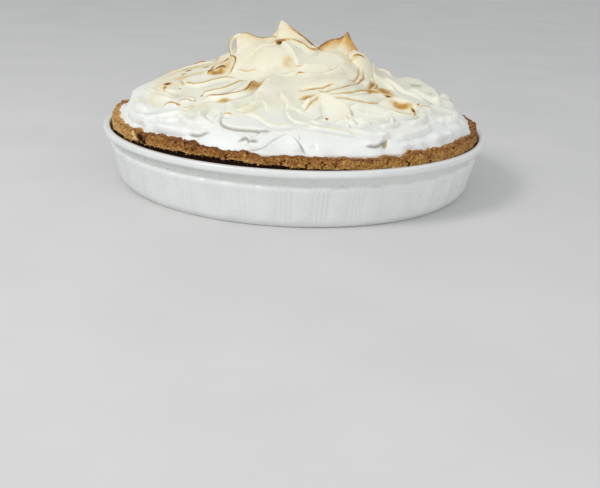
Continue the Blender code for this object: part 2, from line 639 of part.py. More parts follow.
def loop_mesh(loop, along=40, around=12):
    """A closed oval ribbon along a path, its width from front to back."""
    path = spaced_path(loop.path, along)
    way = np.gradient(path, axis=0)
    way /= np.linalg.norm(way, axis=1)[:, None]
    wide = np.array((0.3, 1.0, 0.0)) - way * (way @ (0.3, 1.0, 0.0))[:, None]
    wide /= np.linalg.norm(wide, axis=1)[:, None]
    deep = np.cross(way, wide)
    share = np.linspace(0, 1, along)
    width = np.interp(share, np.linspace(0, 1, len(loop.widths)), loop.widths)
    thick = np.interp(share, np.linspace(0, 1, len(loop.thick)), loop.thick)
    thick = np.maximum(thick, THINNEST_LIP)
    turn = (np.arange(around) * 2 * math.pi / around)[None, :, None]
    oval = wide[:, None] * np.cos(turn) * width[:, None, None] / 2
    oval = oval + deep[:, None] * np.sin(turn) * thick[:, None, None] / 2
    points = (path[:, None] + oval).reshape(-1, 3)
    faces = []
    for ring in range(along - 1):
        faces += band_faces(ring * around, (ring + 1) * around, around)
    faces += [tuple(range(around))[::-1], tuple(range((along - 1) * around, along * around))]
    return points, faces


def joined(meshes):
    """Several closed meshes as one list of points and one of faces."""
    points, faces = [], []
    for some, theirs in meshes:
        start = sum(len(p) for p in points)
        points.append(np.asarray(some, float))
        faces += [tuple(start + k for k in face) for face in theirs]
    return np.vstack(points), faces


def make_meringue(crust):
    """The mound and its fins, fused by a voxel remesh and bedded on the crust."""
    chart = Chart()
    shells = [mound_mesh(MERINGUE_RINGS, MERINGUE_SPOKES, chart)]
    shells += [fin_mesh(fin) for fin in CROWN_FINS]
    shells += [loop_mesh(loop) for loop in CROWN_LOOPS]
    points, faces = joined(shells)
    toasted = principled("toasted_meringue", (0.85, 0.78, 0.64), 0.5)
    meringue = add_object("meringue", points, faces, toasted)
    fuse = meringue.modifiers.new("fuse", "REMESH")
    fuse.mode = "VOXEL"
    fuse.voxel_size = MERINGUE_VOXEL * MM
    soften = meringue.modifiers.new("soften", "SMOOTH")
    soften.iterations = 2
    apply_modifiers(meringue)
    decimate(meringue, MERINGUE_TRIANGLES)
    bed_on(meringue, crust)
    return meringue


def bed_on(meringue, crust):
    """Cuts the crust's shape, grown by the gap, out of the meringue's underside."""
    cutter = bpy.data.objects.new("crust_cutter", crust.data.copy())
    bpy.context.scene.collection.objects.link(cutter)
    grow = cutter.modifiers.new("grow", "DISPLACE")
    grow.strength = GAP * MM
    grow.mid_level = 0.0
    apply_modifiers(cutter)
    cutter.hide_render = True
    cutter.display_type = "WIRE"
    cut = meringue.modifiers.new("bed", "BOOLEAN")
    cut.operation = "DIFFERENCE"
    cut.solver = "EXACT"
    cut.object = cutter


def main():
    clear_scene()
    make_dish()
    crust = make_crust()
    make_meringue(crust)


main()
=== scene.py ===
"""Looks of a lemon meringue pie in its own white fluted baking dish.

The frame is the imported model's: +Z up, the front faces -Y, and the origin is the middle of the
dish's foot. Sizes are in millimetres, and a mesh is scaled to metres when it is made.
"""

import itertools
import math
from typing import NamedTuple

import bpy
import numpy as np
from mathutils import Matrix, Vector


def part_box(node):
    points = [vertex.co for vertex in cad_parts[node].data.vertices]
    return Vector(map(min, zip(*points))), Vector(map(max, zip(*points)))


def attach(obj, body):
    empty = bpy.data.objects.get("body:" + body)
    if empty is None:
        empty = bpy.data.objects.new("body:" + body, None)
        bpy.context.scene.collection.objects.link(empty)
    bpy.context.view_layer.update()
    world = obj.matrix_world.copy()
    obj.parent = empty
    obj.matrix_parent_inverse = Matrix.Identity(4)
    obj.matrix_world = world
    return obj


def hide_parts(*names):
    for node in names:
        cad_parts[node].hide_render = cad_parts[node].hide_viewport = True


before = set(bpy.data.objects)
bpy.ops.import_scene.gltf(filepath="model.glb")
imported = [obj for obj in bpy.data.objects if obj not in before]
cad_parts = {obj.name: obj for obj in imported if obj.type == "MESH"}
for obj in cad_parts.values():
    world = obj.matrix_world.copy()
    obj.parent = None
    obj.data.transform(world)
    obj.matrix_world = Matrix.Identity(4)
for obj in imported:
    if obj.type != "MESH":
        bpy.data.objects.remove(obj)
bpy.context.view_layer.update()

MM = 0.001
RIM_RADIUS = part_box("dish")[1].x / MM
DISH_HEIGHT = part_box("dish")[1].z / MM

# The camera: where it stands, what it looks at and how far it is rolled
CAMERA_PLACE = (0.0, -657.5, 177.5)
CAMERA_AIM = (7.35, 0.0, -51.5)
CAMERA_ROLL = 2.59
CAMERA_LENS = 57.0

# The dish
RIM_INNER = RIM_RADIUS - 4.5
FLUTE_COUNT = 36
FLUTE_STEPS = 30
FLUTE_SHARE = 0.6
FLUTE_DEPTH = 0.9
FLUTE_TOP = 26.0
FLUTE_ARCH = 1.4
RIB_COUNT = 3
RIB_SHARE = 0.45
BAND_RADIUS = RIM_RADIUS - 5.4
BAND_SLOPE = 1.6
FOOT_RADIUS = RIM_RADIUS - 13.3
FOOT_INNER = 98.0
FOOT_RECESS = 1.5
FLOOR_HEIGHT = 5.5
FLOOR_RADIUS = 108.0

# The crust
CRUST_RADIUS = RIM_RADIUS - 5.7
CRUST_WALL = 8.5
CRUST_TOP = 44.2
FILLING_TOP = 40.5
SHRINK_DEPTH = 34.0
SHRINK_ANGLE = -114.0
SHRINK_SPREAD = 33.0
SHRINK_GAP = 3.2
HEM_HEIGHT = 36.6
HEM_LIFT = 3.0
CRUST_STEPS = 1500
# Rises and dips of the crust's top edge: angle, degrees wide and mm high
CRUST_BUMPS = (
    (-128, 20, 3.0), (-140, 1.8, -1.2), (-104, 4, 0.8), (-97, 5, -0.5), (-88, 6, 0.8), (-71, 4, -0.9),
    (-58.6, 1.8, -1.9), (-55.2, 1, 2.0), (-52.8, 1.5, 1.2), (-50.4, 0.7, 1.6), (-48.9, 0.8, -3.2),
    (-47.3, 0.5, 1.6), (-45, 0.8, 0.5), (-30, 5, 1.6), (-3, 3, 2.4), (178, 9, 2.0),
)
# Its cracks, hollows and, where the depth is negative, chips: angle, degrees wide and mm deep.
# Their depth also darkens the crust there, as painted shade.
CRUST_CRACKS = (
    (-143.8, 0.8, -0.8), (-140.6, 1.4, 1.7), (-138.2, 0.3, 0.9), (-108.6, 0.22, 0.8), (-93, 0.22, 1.1),
    (-86.4, 0.22, 0.9), (-82.2, 0.22, 0.9), (-79.2, 0.22, 0.8), (-57, 0.3, 1.2), (-48.8, 0.35, 1.4),
    (12, 0.22, 1), (74, 0.22, 1), (133, 0.22, 1),
)
# Where the crust's colour is paler, or darker where the amount is negative: angle, degrees wide and how much
CRUST_PALE = ((-165, 22, 0.32), (-116, 9, -0.09), (-50, 30, 0.09))

# The meringue: (radius, height) of its mound, from the crown to the crust
MOUND = ((0, 80), (30, 77.5), (55, 73), (80, 67), (98, 61), (110, 55.8), (117.5, 50), (121, 44.5))
MERINGUE_BED = 38.0
MERINGUE_RINGS = 300
MERINGUE_SPOKES = 1500
MERINGUE_VOXEL = 0.58
MERINGUE_TRIANGLES = 196000

# Loose crumbs, and specks in the glaze
CRUMB_COUNT = 380
SPECK_COUNT = 150


class Ridge(NamedTuple):
    """A spatula's ridge on the mound, along a path of chart points: u, v, u, v and so on.

    left and right are its flanks' widths, fall how steeply each drops, ends the shares of the path
    over which it rises and dies away, and lean how far the crest is pushed to the left. clear wipes
    away that share of what lies under it. toast browns the crest, as wide as stain. crease is the
    depth (a share of the height) of the groove at its steeper foot, and line the strength of a
    line of painted shade along that foot.
    """

    path: tuple
    height: float
    left: float
    right: float
    fall: tuple = (1.4, 1.2)
    ends: tuple = (0.25, 0.25)
    lean: float = 0.0
    clear: float = 0.0
    toast: float = 0.0
    stain: float = 0.6
    crease: float = 0.3
    line: float = 0.15


class Pillow(NamedTuple):
    """A soft swelling on the mound, or a hollow where height is negative."""

    u: float
    v: float
    wide: float
    deep: float
    height: float
    edge: float = 1.0
    turn: float = 0.0


BODY = (
    Pillow(-3, 3, 60, 42, 17, 1.1), Pillow(43, -3, 10, 12, 7, 0.6),
    Pillow(14, 4, 12, 17, -12, 0.9), Pillow(-62, 24, 62, 60, 3, 1.2),
    Pillow(-68, -38, 48, 56, -2.4, 0.6), Pillow(14, -90, 22, 18, -2, 0.8),
    Pillow(24, -62, 30, 26, 4, 1.4), Pillow(74, -50, 26, 18, 3, 1.3, -10),
    Pillow(58, 12, 12, 12, 3.5), Pillow(89, 31, 17, 16, 4.4, 1.2), Pillow(103, -12, 11, 12, 3),
    Pillow(106, -54, 9, 10, 3), Pillow(-112, 4, 12, 16, 1.2),
    Pillow(-125, -2, 9, 30, -3.5, 0.7), Pillow(121, 8, 14, 30, -2.8, 0.7),
    Pillow(40, -44, 24, 34, 2.6, 0.8, -15), Pillow(95, 8, 9, 9, 3.5, 0.9),
    Pillow(104, -2, 6, 8, 3, 0.8), Pillow(42, -31, 13, 13, 2.6, 1.5),
)
CROWN = (
    Pillow(-15, -21, 17, 11, 2.5, turn=5),
    Ridge((-32, -17, -24, -12, -16, -11), 2, 9, 2, lean=-0.5, toast=0.3, stain=0.7),
    Ridge((-19, -12, -8, -9, 0, -12, 8, -16, 15, -13), 3.4, 9, 1.6, (1.3, 1.1), (0.15, 0.15), -1, toast=0.75,
        stain=0.4),
    Ridge((-11, -12, -6, -19, -2, -25, 1, -30), 3, 10, 2.2, ends=(0.15, 0.3), lean=-0.7),
    Pillow(14, -20, 17, 8, -3, turn=8),
    Ridge((0, -30, 9, -30, 17, -28, 24, -30), 2.6, 1.8, 6, (1.2, 1.4), toast=0.3, stain=0.5, line=0.6),
    Ridge((-12, -38, 0, -37, 11, -37, 23, -32, 31, -21, 37, -13), 3, 2, 16, (1.2, 2.4), (0.25, 0.3), 0.8,
        toast=0.45, stain=0.45, crease=0.4, line=0.6),
    Ridge((-40, -23, -33, -29, -25, -31), 1.8, 6, 2, lean=-0.5, toast=0.5),
    Ridge((-12, -30, -17, -42, -19, -55, -25, -70), 3.4, 9, 8, (1.5, 1.5)),
    Ridge((-45, -5, -41, -12, -42, -19, -47, -27), 1.6, 3, 2, ends=(0.1, 0.3), toast=0.95, stain=0.5),
)
LEFT = (
    Ridge((-102, 16, -91, 23, -79, 33, -68, 34, -58, 27, -52, 17), 1.8, 9, 6, (1.5, 1.5), toast=0.66,
        stain=1.2),
    Pillow(-66, -20, 15, 10, 3, 0.8, -5), Pillow(-86, -18, 9, 8, 2, 0.9),
    Ridge((-98, -8, -95, -22, -87, -32, -78, -35), 3.4, 12, 2.4, ends=(0.1, 0.3), lean=-0.6, toast=0.3,
        line=0.3),
    Ridge((-79, -8, -79, -17, -76, -27), -1.4, 2, 2, ends=(0.2, 0.2), toast=0.55),
    Ridge((-76, -27, -67, -35.5, -61, -36, -53, -33, -45, -31, -37, -32), 3, 11, 4, (1.1, 1.5), (0.12, 0.3),
        -0.6, 0.3, toast=0.68, stain=0.7, line=0.3),
    Ridge((-62, -55, -54, -55, -47, -54, -40, -48, -36, -42, -31, -37), 2.8, 8, 4, (1.2, 1.6), (0.1, 0.3),
        -0.6, 0.3, toast=0.74, stain=0.8, crease=0.2, line=0.3),
    Ridge((-61, -62, -50, -67, -40, -67, -34, -64.5, -31, -60, -29, -51, -24, -41), 3.6, 9, 6, (1.4, 1.6),
        (0.15, 0.2), -0.8, 0.3, toast=0.86, stain=0.9, crease=0.2, line=0.4),
    Ridge((-60, -19, -57, -14.5, -53, -13.5, -47, -17), 2.4, 7, 3.6, (1.2, 1.2), (0.12, 0.15), -1, toast=1.1,
        stain=0.9),
    Ridge((-106, -10, -101, -28, -91, -46, -76, -59), 4.6, 9, 5, (1.3, 1.5), lean=-0.6, clear=0.2),
    Ridge((-109, -26, -105, -44, -95, -63), 3.6, 6, 5, clear=0.1),
    Ridge((-113, -36, -106, -58, -93, -78), 3.4, 6, 6, clear=0.1),
    Ridge((-101, -16, -96, -32, -86, -46, -77, -52), 2.4, 5, 3, (1.3, 1.4)),
    Ridge((-88, -60, -84, -58, -80, -60, -75, -66), 2.4, 1.8, 5, (1.2, 1.5), toast=0.95, stain=1.2),
    Ridge((-78, -60, -72, -59, -67, -62), 1.8, 1.6, 4, (1.2, 1.5), toast=0.85, stain=0.8),
    Ridge((-75, -56, -70, -55, -65, -59), 1.6, 1.6, 3, (1.2, 1.5), toast=0.75, stain=0.7),
    Ridge((-74, -70, -69, -73, -65, -68), 1.4, 2, 2, toast=0.5, stain=0.5),
    Ridge((-98, -70, -84, -77, -67, -79), 3.2, 7, 4, (1.3, 1.4)),
    Ridge((-90, -76, -80, -84, -68, -86), 2.4, 5, 4, (1.3, 1.4)),
    Ridge((-75, -79, -67, -93, -54, -104), 2.8, 7, 3, lean=-0.5),
    Ridge((-90, -84, -77, -95, -62, -103), 2.4, 8, 5), Ridge((-104, -62, -92, -82, -76, -97), 2.4, 6, 6),
)
MIDDLE = (
    Ridge((-54, -76, -59, -86, -56, -97, -49, -101), 3.2, 3, 6, (1.2, 1.5)),
    Ridge((-53, -90, -48, -89, -46, -95, -51, -99), 2, 2, 3),
    Ridge((-44, -74, -40, -84, -44, -95), 2.6, 7, 3),
    Ridge((-37, -88, -28, -88, -20, -82, -17, -92), 3, 6, 2.2, lean=-0.6, toast=0.12),
    Ridge((-24, -66, -24, -77, -32, -86), 2.4, 6, 3),
    Ridge((-31, -91, -22, -99, -14, -108, -4, -108, 3, -105), 2.2, 11, 3.4, ends=(0.2, 0.2), lean=-0.5,
        toast=0.3, line=0.3),
    Ridge((2, -105, 14, -108, 26, -109, 40, -107), 2, 8, 3.6, ends=(0.2, 0.3), lean=-0.4, toast=0.28,
        line=0.3),
    Ridge((-44, -95, -43, -103, -35, -108, -24, -111, -14, -111), 2, 8, 2, (1.2, 1), (0.12, 0.1), -0.2,
        crease=0.25, line=1),
    Ridge((-18, -112, -22, -117, -30, -124), 2, 7, 2, (1.3, 1.1), line=0.4),
    Ridge((-45, -93, -38, -94), 1, 2, 2, toast=0.55),
    Ridge((-35, -117, -29, -116, -26, -119, -21, -119), 2, 3, 1.8, crease=0.25, line=1),
    Ridge((-32, -127, -18, -125, -8, -119, -3, -117, 1, -121, 7, -130), 3, 1.4, 9, (1.1, 1.4), (0.15, 0.1),
        crease=0.5, line=0.9),
    Ridge((12, -119, 14, -126, 21, -128), -2, 2.5, 4, line=0),
    Ridge((-66, -103, -60, -107, -52, -106), 2, 5, 1.8, crease=0.25, line=0.9),
)
FAN = (
    Pillow(22, -48, 26, 12, 2, 1.2, 25),
    Ridge((1, -64, 7, -62.5, 15, -61.5, 28, -57), -2.2, 3.4, 3.4, (1.6, 1.6), (0.12, 0.6), toast=0.66,
        stain=0.8),
    Ridge((12, -67, 20, -65, 28, -60, 35.5, -51, 41.5, -38, 45, -26, 44.5, -12), -3, 3, 3, (1.6, 1.6), (0.1,
        0.12), toast=0.68, stain=0.65),
    Ridge((29, -54, 36, -44, 40, -32, 41, -20, 41, -12), -2, 2.2, 2.2, (1.5, 1.5), (0.4, 0.15), toast=0.52,
        stain=0.8),
    Ridge((22, -68, 33, -60, 41, -50, 46, -38), -1.6, 1.8, 1.8, (1.5, 1.5), toast=0.22),
    Ridge((12, -71, 28, -68, 38, -60, 46, -48, 49.5, -36, 50, -22, 48, -12), -2.6, 2.6, 2.6, (1.6, 1.6), (0.3,
        0.12), toast=0.6, stain=0.65),
    Ridge((30, -70, 42, -62, 50, -51), -1.8, 2, 2, (1.5, 1.5), toast=0.25),
    Ridge((46, -50, 52, -41, 54, -29, 52, -14), -2.4, 2.4, 2.4, (1.6, 1.6), toast=0.75, stain=0.65),
    Ridge((0, -76, 6, -73.5, 12, -71, 20, -72, 30, -72, 44, -70, 54, -63, 62, -61), -2.4, 2.6, 2.6, (1.7,
        1.7), (0.12, 0.2), toast=0.56, stain=0.65),
    Ridge((5, -87, 10, -81, 16, -76), -1.8, 2, 2, toast=0.6, stain=0.65),
    Ridge((-7, -60, -9, -70, -5, -80, -5, -88), 2.8, 8, 2.2, ends=(0.3, 0.2), lean=-0.5),
)
HEART = (
    Ridge((-5, -86, -4, -96, 1, -103, 12, -107), 2.2, 8, 2.6, (1.2, 1.2), (0.2, 0.2), -0.5, toast=0.25,
        line=0.3),
    Ridge((-4, -88, 0, -86, 6, -90), 1.6, 3, 3, ends=(0.3, 0.3)),
    Ridge((3, -81, 9, -79, 16, -75, 24, -79, 30, -83, 35, -91), 4.4, 2.2, 12, (1.1, 1.3), (0.12, 0.15), 0.6,
        toast=0.2, crease=0.4),
    Ridge((16, -79, 17, -86, 18, -94), -2.4, 1.8, 2.4, ends=(0.25, 0.2)),
    Ridge((24, -99, 29, -98, 34, -105), 2, 2, 4), Ridge((30, -90, 34, -96, 38, -100), 1.8, 2, 3),
    Ridge((8, -98, 14, -102, 22, -101), 1.8, 4, 2.2),
)
RIGHT = (
    Ridge((33, -97, 38, -93, 44, -96, 47, -92), 2.6, 2, 3, ends=(0.2, 0.25)),
    Ridge((40, -96, 42, -99, 37, -101), 1.8, 2, 2),
    Ridge((32, -82, 42, -77, 53, -77, 60, -84, 60, -91), 3.4, 2.4, 9, (1.2, 1.4), (0.2, 0.2), 0.4),
    Ridge((40, -85, 50, -84, 60, -86), 2, 2, 4),
    Ridge((52, -66, 61, -59, 70, -59, 80, -61), 3.4, 3, 7, (1.2, 1.3), (0.2, 0.1)),
    Ridge((57, -72, 65, -76, 72, -74, 78, -68), 3, 7, 2.2, (1.2, 1.2), (0.2, 0.1), -0.7, toast=0.5,
        stain=0.5),
    Ridge((77, -62, 82, -57, 90, -53), 2.4, 2, 5, ends=(0.12, 0.3), toast=1, stain=0.7),
    Ridge((52, -96, 60, -91, 67, -85), 2.4, 4, 2.2),
    Ridge((60, -101, 70, -96, 81, -84, 87, -72), 2.4, 8, 4, (1.4, 1.4), lean=-0.4),
    Ridge((72, -84, 80, -74, 86, -62), 2.4, 5, 3, (1.4, 1.3)),
    Ridge((32, -106, 46, -106, 60, -101), 2.4, 7, 3, lean=-0.4),
    Ridge((66, -106, 78, -100, 88, -90), 2.2, 6, 4),
    Ridge((43, -114, 50, -112, 56, -105, 59, -105), 2.6, 6, 2, (1.2, 1.1), (0.15, 0.15), -0.4, crease=0.25,
        line=1),
    Pillow(56, -109, 2.5, 5, -3), Ridge((62, -118, 70, -112, 80, -108), 1.6, 5, 4),
    Ridge((50, 4, 54, -12, 60, -27, 68, -40), 3, 13, 2.4, ends=(0.1, 0.25), lean=-0.5),
    Ridge((57, -14, 66, -26, 76, -34, 88, -38), 3, 12, 3, ends=(0.2, 0.25), lean=-0.5),
    Ridge((78, -12, 88, -22, 100, -30), 2.4, 9, 4, ends=(0.2, 0.25)),
    Ridge((90, -28, 100, -24, 112, -18), 2.8, 6, 5), Ridge((88, -44, 100, -40, 113, -34), 2.4, 6, 4),
    Ridge((90, -62, 100, -56, 110, -44), 2.8, 6, 5), Ridge((86, -88, 97, -78, 106, -64), 2.6, 6, 5),
)
# Browned strokes, and a few of painted shade: path, width, toast and, for some, speckle
STAINS_AND_SHADE = (
    ((-14, -11, -8, -9.5), 0.6, 0.95), ((-2, -31, 4, -31), 0.6, 0.6),
    # the wide stroke from (-9, -26) is painted shade on the crown pillow's lower side
    ((0, -38, 7, -37), 0.6, 0.75), ((-9, -26, -3, -31), 6, 0.44),
    # the strokes from (36, -8.5) and (29, -13) are painted shade under the right shoulder's top edge
    ((-38, -14, -24, -20, -8, -20), 9, 0.26), ((36, -8.5, 40, -7, 44, -6.5), 1, 0.9),
    ((29, -13, 36, -10, 42, -8.5), 3.2, 0.4), ((47, -45, 50, -36, 50, -28), 2.4, 0.68),
    ((51, -43, 56, -46, 60, -51), 6.5, 0.66, 0.25), ((43, -56, 49, -52, 55, -49), 3.2, 0.62, 0.15),
    ((57, -54, 61, -55, 64, -55), 1.7, 0.95), ((3, -75, 8, -72.5, 15, -71), 2.4, 0.64, 0.15),
    ((10, -44, 18, -48, 28, -50), 4.5, 0.3, 0.6), ((61, -62, 67, -64, 73, -62), 2.8, 0.68, 0.2),
    ((74, -64, 77, -66), 1.1, 0.95), ((76, -69, 75, -72), 0.8, 0.85),
    ((-31, -62, -26, -53, -21, -45), 5.5, 0.6, 0.3), ((-49, -71.5, -42, -71.5), 1.8, 0.62, 0.1),
    ((-59, -19, -53, -16.5, -48, -19), 2.8, 0.72, 0.1), ((-47, -20, -45, -6), 4.5, 0.5, 0.15),
    ((-58, -2, -52, -6, -48, -14), 5, 0.46, 0.15), ((-49, -8, -46, -5), 1.2, 0.95),
    ((-89, -21, -86.5, -22), 2.3, 1.3), ((-89, -24, -88.5, -31), 1.6, 0.75),
    ((-79.5, -30, -78.5, -30), 1, 1.2), ((-81, 4, -78.5, 5), 1.3, 1.2),
    ((-78, 11, -75.5, 12), 1.5, 1.2), ((-80, 18, -77.5, 19), 1.4, 1.15),
    ((-67, 12, -62, 13), 1.1, 0.95), ((-59, -4, -57, -3), 1.4, 1.2),
    ((-66, -61, -65.5, -61), 1, 1.1), ((-62, -55, -60.5, -55), 1.1, 1.1),
    ((-95, -8, -80, -5, -66, -7, -50, -5), 10, 0.42, 0.12),
    ((-98, 8, -84, 16, -68, 20, -54, 8), 11, 0.4, 0.18),
    ((-98, -20, -86, -22, -76, -22), 10, 0.34, 0.1), ((-100, -40, -84, -44, -66, -42), 12, 0.26),
    ((-68, -70, -54, -80), 11, 0.26), ((-40, -84, -24, -90), 9, 0.22),
    ((27, -85, 33, -95), 7, 0.23), ((-60, 6, -52, 0), 8, 0.4, 0.15),
    ((-66, -12, -58, -10), 5, 0.38, 0.1), ((19, -93, 20, -95), 0.9, 0.95),
    ((57, -106, 57, -111), 1, 0.5),
)
# The torn peaks, as fin_mesh takes them: first a root and a lip, as x, y, z and so on
FINS = (
    ((-42, 2, 84, -26, 3, 86, -12, 4, 88), (-42, 0, 96.5, -36, 0, 99, -26, 1, 96, -16, 2, 97),
     2, (13, 1.6), (0.1, 0.8, 0.85, 0.8, 0.6), 0.35),
    ((-18, 4, 88, -4, 2, 88, 14, -2, 83),
     (-18, 2, 97, -15, 2, 100.5, -12.4, 2, 107.6, -11.4, 2, 108, -4, 1, 103, 5, 0, 97, 14, -1, 90),
     -1, (12, 1.5), (0.1, 0.2, 0.8, 0.97), 0.27, 0.2),
    ((13, 1, 82, 26, 0, 85, 44, -2, 82),
     (13, 0, 90.5, 21, 2, 96, 29, 3, 98, 32.6, 2, 101.6, 33.6, 2, 102, 36, 1, 97, 42, -1, 89, 48, -3, 86),
     -2, (14, 1.5), (0.9, 0.8, 0.7, 0.5, 0.15), 0.58, 0.03),
)
# The curl: its path, and its widths, thicknesses and toast along it
CURL = ((-36, 1, 96.5, -40, 0.5, 97.2, -44, -0.5, 95.2, -46, -1.5, 92, -46, -2.5, 88.5, -44.6, -4, 84.5,
         -44, -5.5, 81, -47, -8, 75),
        (2, 4, 5, 5, 5, 6, 8, 10), (1.6, 2.6, 2.6, 2, 1.8, 2.2, 2.6, 4),
        (0, 0, 0.5, 0.85, 0.9, 0.9, 0.9, 0.4))


# ---- shared helpers


def new_object(name, data):
    made = bpy.data.objects.new(name, data)
    bpy.context.scene.collection.objects.link(made)
    return made


def add_object(name, points, faces, material):
    """A new mesh object from points in millimetres."""
    mesh = bpy.data.meshes.new(name)
    mesh.from_pydata((np.asarray(points, float) * MM).tolist(), [], faces)
    mesh.materials.append(material)
    mesh.shade_smooth()
    return new_object(name, mesh)


def apply_modifiers(obj):
    """Replaces an object's mesh with what its modifiers make of it."""
    bpy.context.view_layer.update()
    graph = bpy.context.evaluated_depsgraph_get()
    made = bpy.data.meshes.new_from_object(obj.evaluated_get(graph), depsgraph=graph)
    obj.modifiers.clear()
    obj.data = made


def read(items, name, width=3, kind=float):
    """One property of all the items, a row for each."""
    flat = np.empty(len(items) * width, kind)
    items.foreach_get(name, flat)
    return flat.reshape(-1, width)


def add_attribute(mesh, name, values):
    layer = mesh.attributes.new(name, "FLOAT", "POINT")
    layer.data.foreach_set("value", np.asarray(values, np.float32))


def unit(vectors):
    return vectors / np.maximum(np.linalg.norm(vectors, axis=-1, keepdims=True), 1e-9)


def ease(x):
    """Smooth step from 0 to 1."""
    x = np.clip(x, 0.0, 1.0)
    return x * x * (3 - 2 * x)


def smooth_path(points, step):
    """Points about step apart on a Catmull-Rom curve through the given ones."""
    p = np.array(points, float)
    q = np.vstack([2 * p[0] - p[1], p, 2 * p[-1] - p[-2]])
    runs = []
    for a, b, c, d in zip(q, q[1:], q[2:], q[3:]):
        count = max(2, int(np.linalg.norm(c - b) / step) + 1)
        t = (np.arange(count) / count)[:, None]
        bend = 2 * a - 5 * b + 4 * c - d
        runs.append(0.5 * (2 * b + (c - a) * t + bend * t**2 + (3 * b - a - 3 * c + d) * t**3))
    return np.vstack(runs + [p[-1:]])


def spaced_path(points, count):
    """This many points, evenly spaced along the smooth path."""
    p = smooth_path(np.reshape(points, (-1, 3)), 0.5)
    lengths = np.linalg.norm(np.diff(p, axis=0), axis=1)
    s = np.concatenate([[0], np.cumsum(lengths)])
    even = np.linspace(0, s[-1], count)
    return np.stack([np.interp(even, s, p[:, k]) for k in range(3)], axis=1)


def band_faces(low, high, steps):
    """Quads between two rings of the same steps, given each ring's first index."""
    around = [(i, (i + 1) % steps) for i in range(steps)]
    return [(low + i, low + j, high + j, high + i) for i, j in around]


def turned_mesh(rows, first, last):
    """Points and faces of rings of points between two poles."""
    steps = len(rows[0])
    points = np.vstack([[first], *rows, [last]])
    faces = [(0, 1 + (i + 1) % steps, 1 + i) for i in range(steps)]
    end = len(points) - 1 - steps
    for low in range(1, end, steps):
        faces += band_faces(low, low + steps, steps)
    faces += [(end + i, end + (i + 1) % steps, len(points) - 1) for i in range(steps)]
    return points, faces


def joined(meshes):
    """Several closed meshes as one list of points and one of faces."""
    points, faces = [], []
    start = 0
    for some, theirs in meshes:
        points.append(np.asarray(some, float))
        faces += [tuple(start + k for k in face) for face in theirs]
        start += len(some)
    return np.vstack(points), faces


class Noise:
    """Smooth seeded noise through space, from -1 to 1."""

    CELLS = 32

    def __init__(self, seed):
        self.lattice = np.random.default_rng(seed).uniform(-1, 1, (self.CELLS,) * 3)

    def at(self, places, size):
        """The noise at places in millimetres, with lumps of about this size."""
        scaled = np.asarray(places, float) / size
        low = np.floor(scaled).astype(int)
        part = ease(scaled - low)
        total = 0.0
        for corner in np.ndindex(2, 2, 2):
            share = np.prod(np.where(corner, part, 1 - part), axis=1)
            x, y, z = ((low + corner) % self.CELLS).T
            total += share * self.lattice[x, y, z]
        return total


# ---- materials


class Nodes:
    """A material's node tree, with short calls for the nodes used here."""

    def __init__(self, name):
        self.material = bpy.data.materials.new(name)
        self.material.use_nodes = True
        self.tree = self.material.node_tree
        self.place = self.add("TexCoord").outputs["Object"]

    def put(self, target, source):
        """Sets an input to a plain value, or links it to a source."""
        if isinstance(source, (int, float, tuple)):
            target.default_value = source
        else:
            self.tree.links.new(source, target)

    def feed(self, node, **inputs):
        for name, source in inputs.items():
            self.put(node.inputs[name.replace("_", " ")], source)

    def finish(self, **inputs):
        """The material, once the shader's inputs are set."""
        self.feed(self.tree.nodes["Principled BSDF"], **inputs)
        return self.material

    def add(self, kind, **inputs):
        """A new node, with its inputs set."""
        made = self.tree.nodes.new("ShaderNode" + kind)
        self.feed(made, **inputs)
        return made

    def noise(self, size, detail):
        """Noise with lumps of this size in millimetres."""
        return self.add("TexNoise", Vector=self.place, Scale=1 / (size * MM), Detail=detail).outputs["Fac"]

    def attribute(self, name):
        made = self.add("Attribute")
        made.attribute_name = name
        return made.outputs["Fac"]

    def math(self, kind, a, b):
        made = self.add("Math")
        made.operation = kind
        self.put(made.inputs[0], a)
        self.put(made.inputs[1], b)
        return made.outputs[0]

    def ramp(self, source, stops):
        """Colours at given places from 0 to 1."""
        made = self.add("ValToRGB", Fac=source)
        elements = made.color_ramp.elements
        while len(elements) < len(stops):
            elements.new(0.5)
        for element, (place, colour) in zip(elements, stops):
            element.position = place
            element.color = (*colour, 1.0)
        return made.outputs["Color"]

    def range(self, source, low, high):
        """The source, running from 0 to 1, stretched over low to high."""
        return self.add("MapRange", Value=source, To_Min=low, To_Max=high).outputs["Result"]

    def shade(self, colour, amount, tone):
        """The colour, moved towards a tone by an amount."""
        mix = self.add("Mix", Factor=amount)
        mix.data_type = "RGBA"
        self.put(mix.inputs[6], colour)
        self.put(mix.inputs[7], (*tone, 1))
        return mix.outputs[2]

    def bump(self, source, depth):
        """Bumps of this depth in millimetres."""
        return self.add("Bump", Strength=1.0, Distance=depth * MM, Height=source).outputs["Normal"]


def glaze_material():
    """White glazed porcelain, with painted shade that makes it a little greyer on the plain band under the
    rim.
    """
    nodes = Nodes("white_glaze")
    tone = nodes.ramp(nodes.noise(14, 3), ((0.3, (0.76, 0.775, 0.77)), (0.7, (0.80, 0.815, 0.81))))
    return nodes.finish(
        # the grey mix on the plain band is painted shade
        Base_Color=nodes.shade(tone, nodes.attribute("band_shade"), (0.69, 0.70, 0.685)),
        Roughness=nodes.range(nodes.noise(3, 2), 0.24, 0.34), Coat_Weight=0.12, Coat_Roughness=0.16,
        Normal=nodes.bump(nodes.noise(5, 1), 0.04))


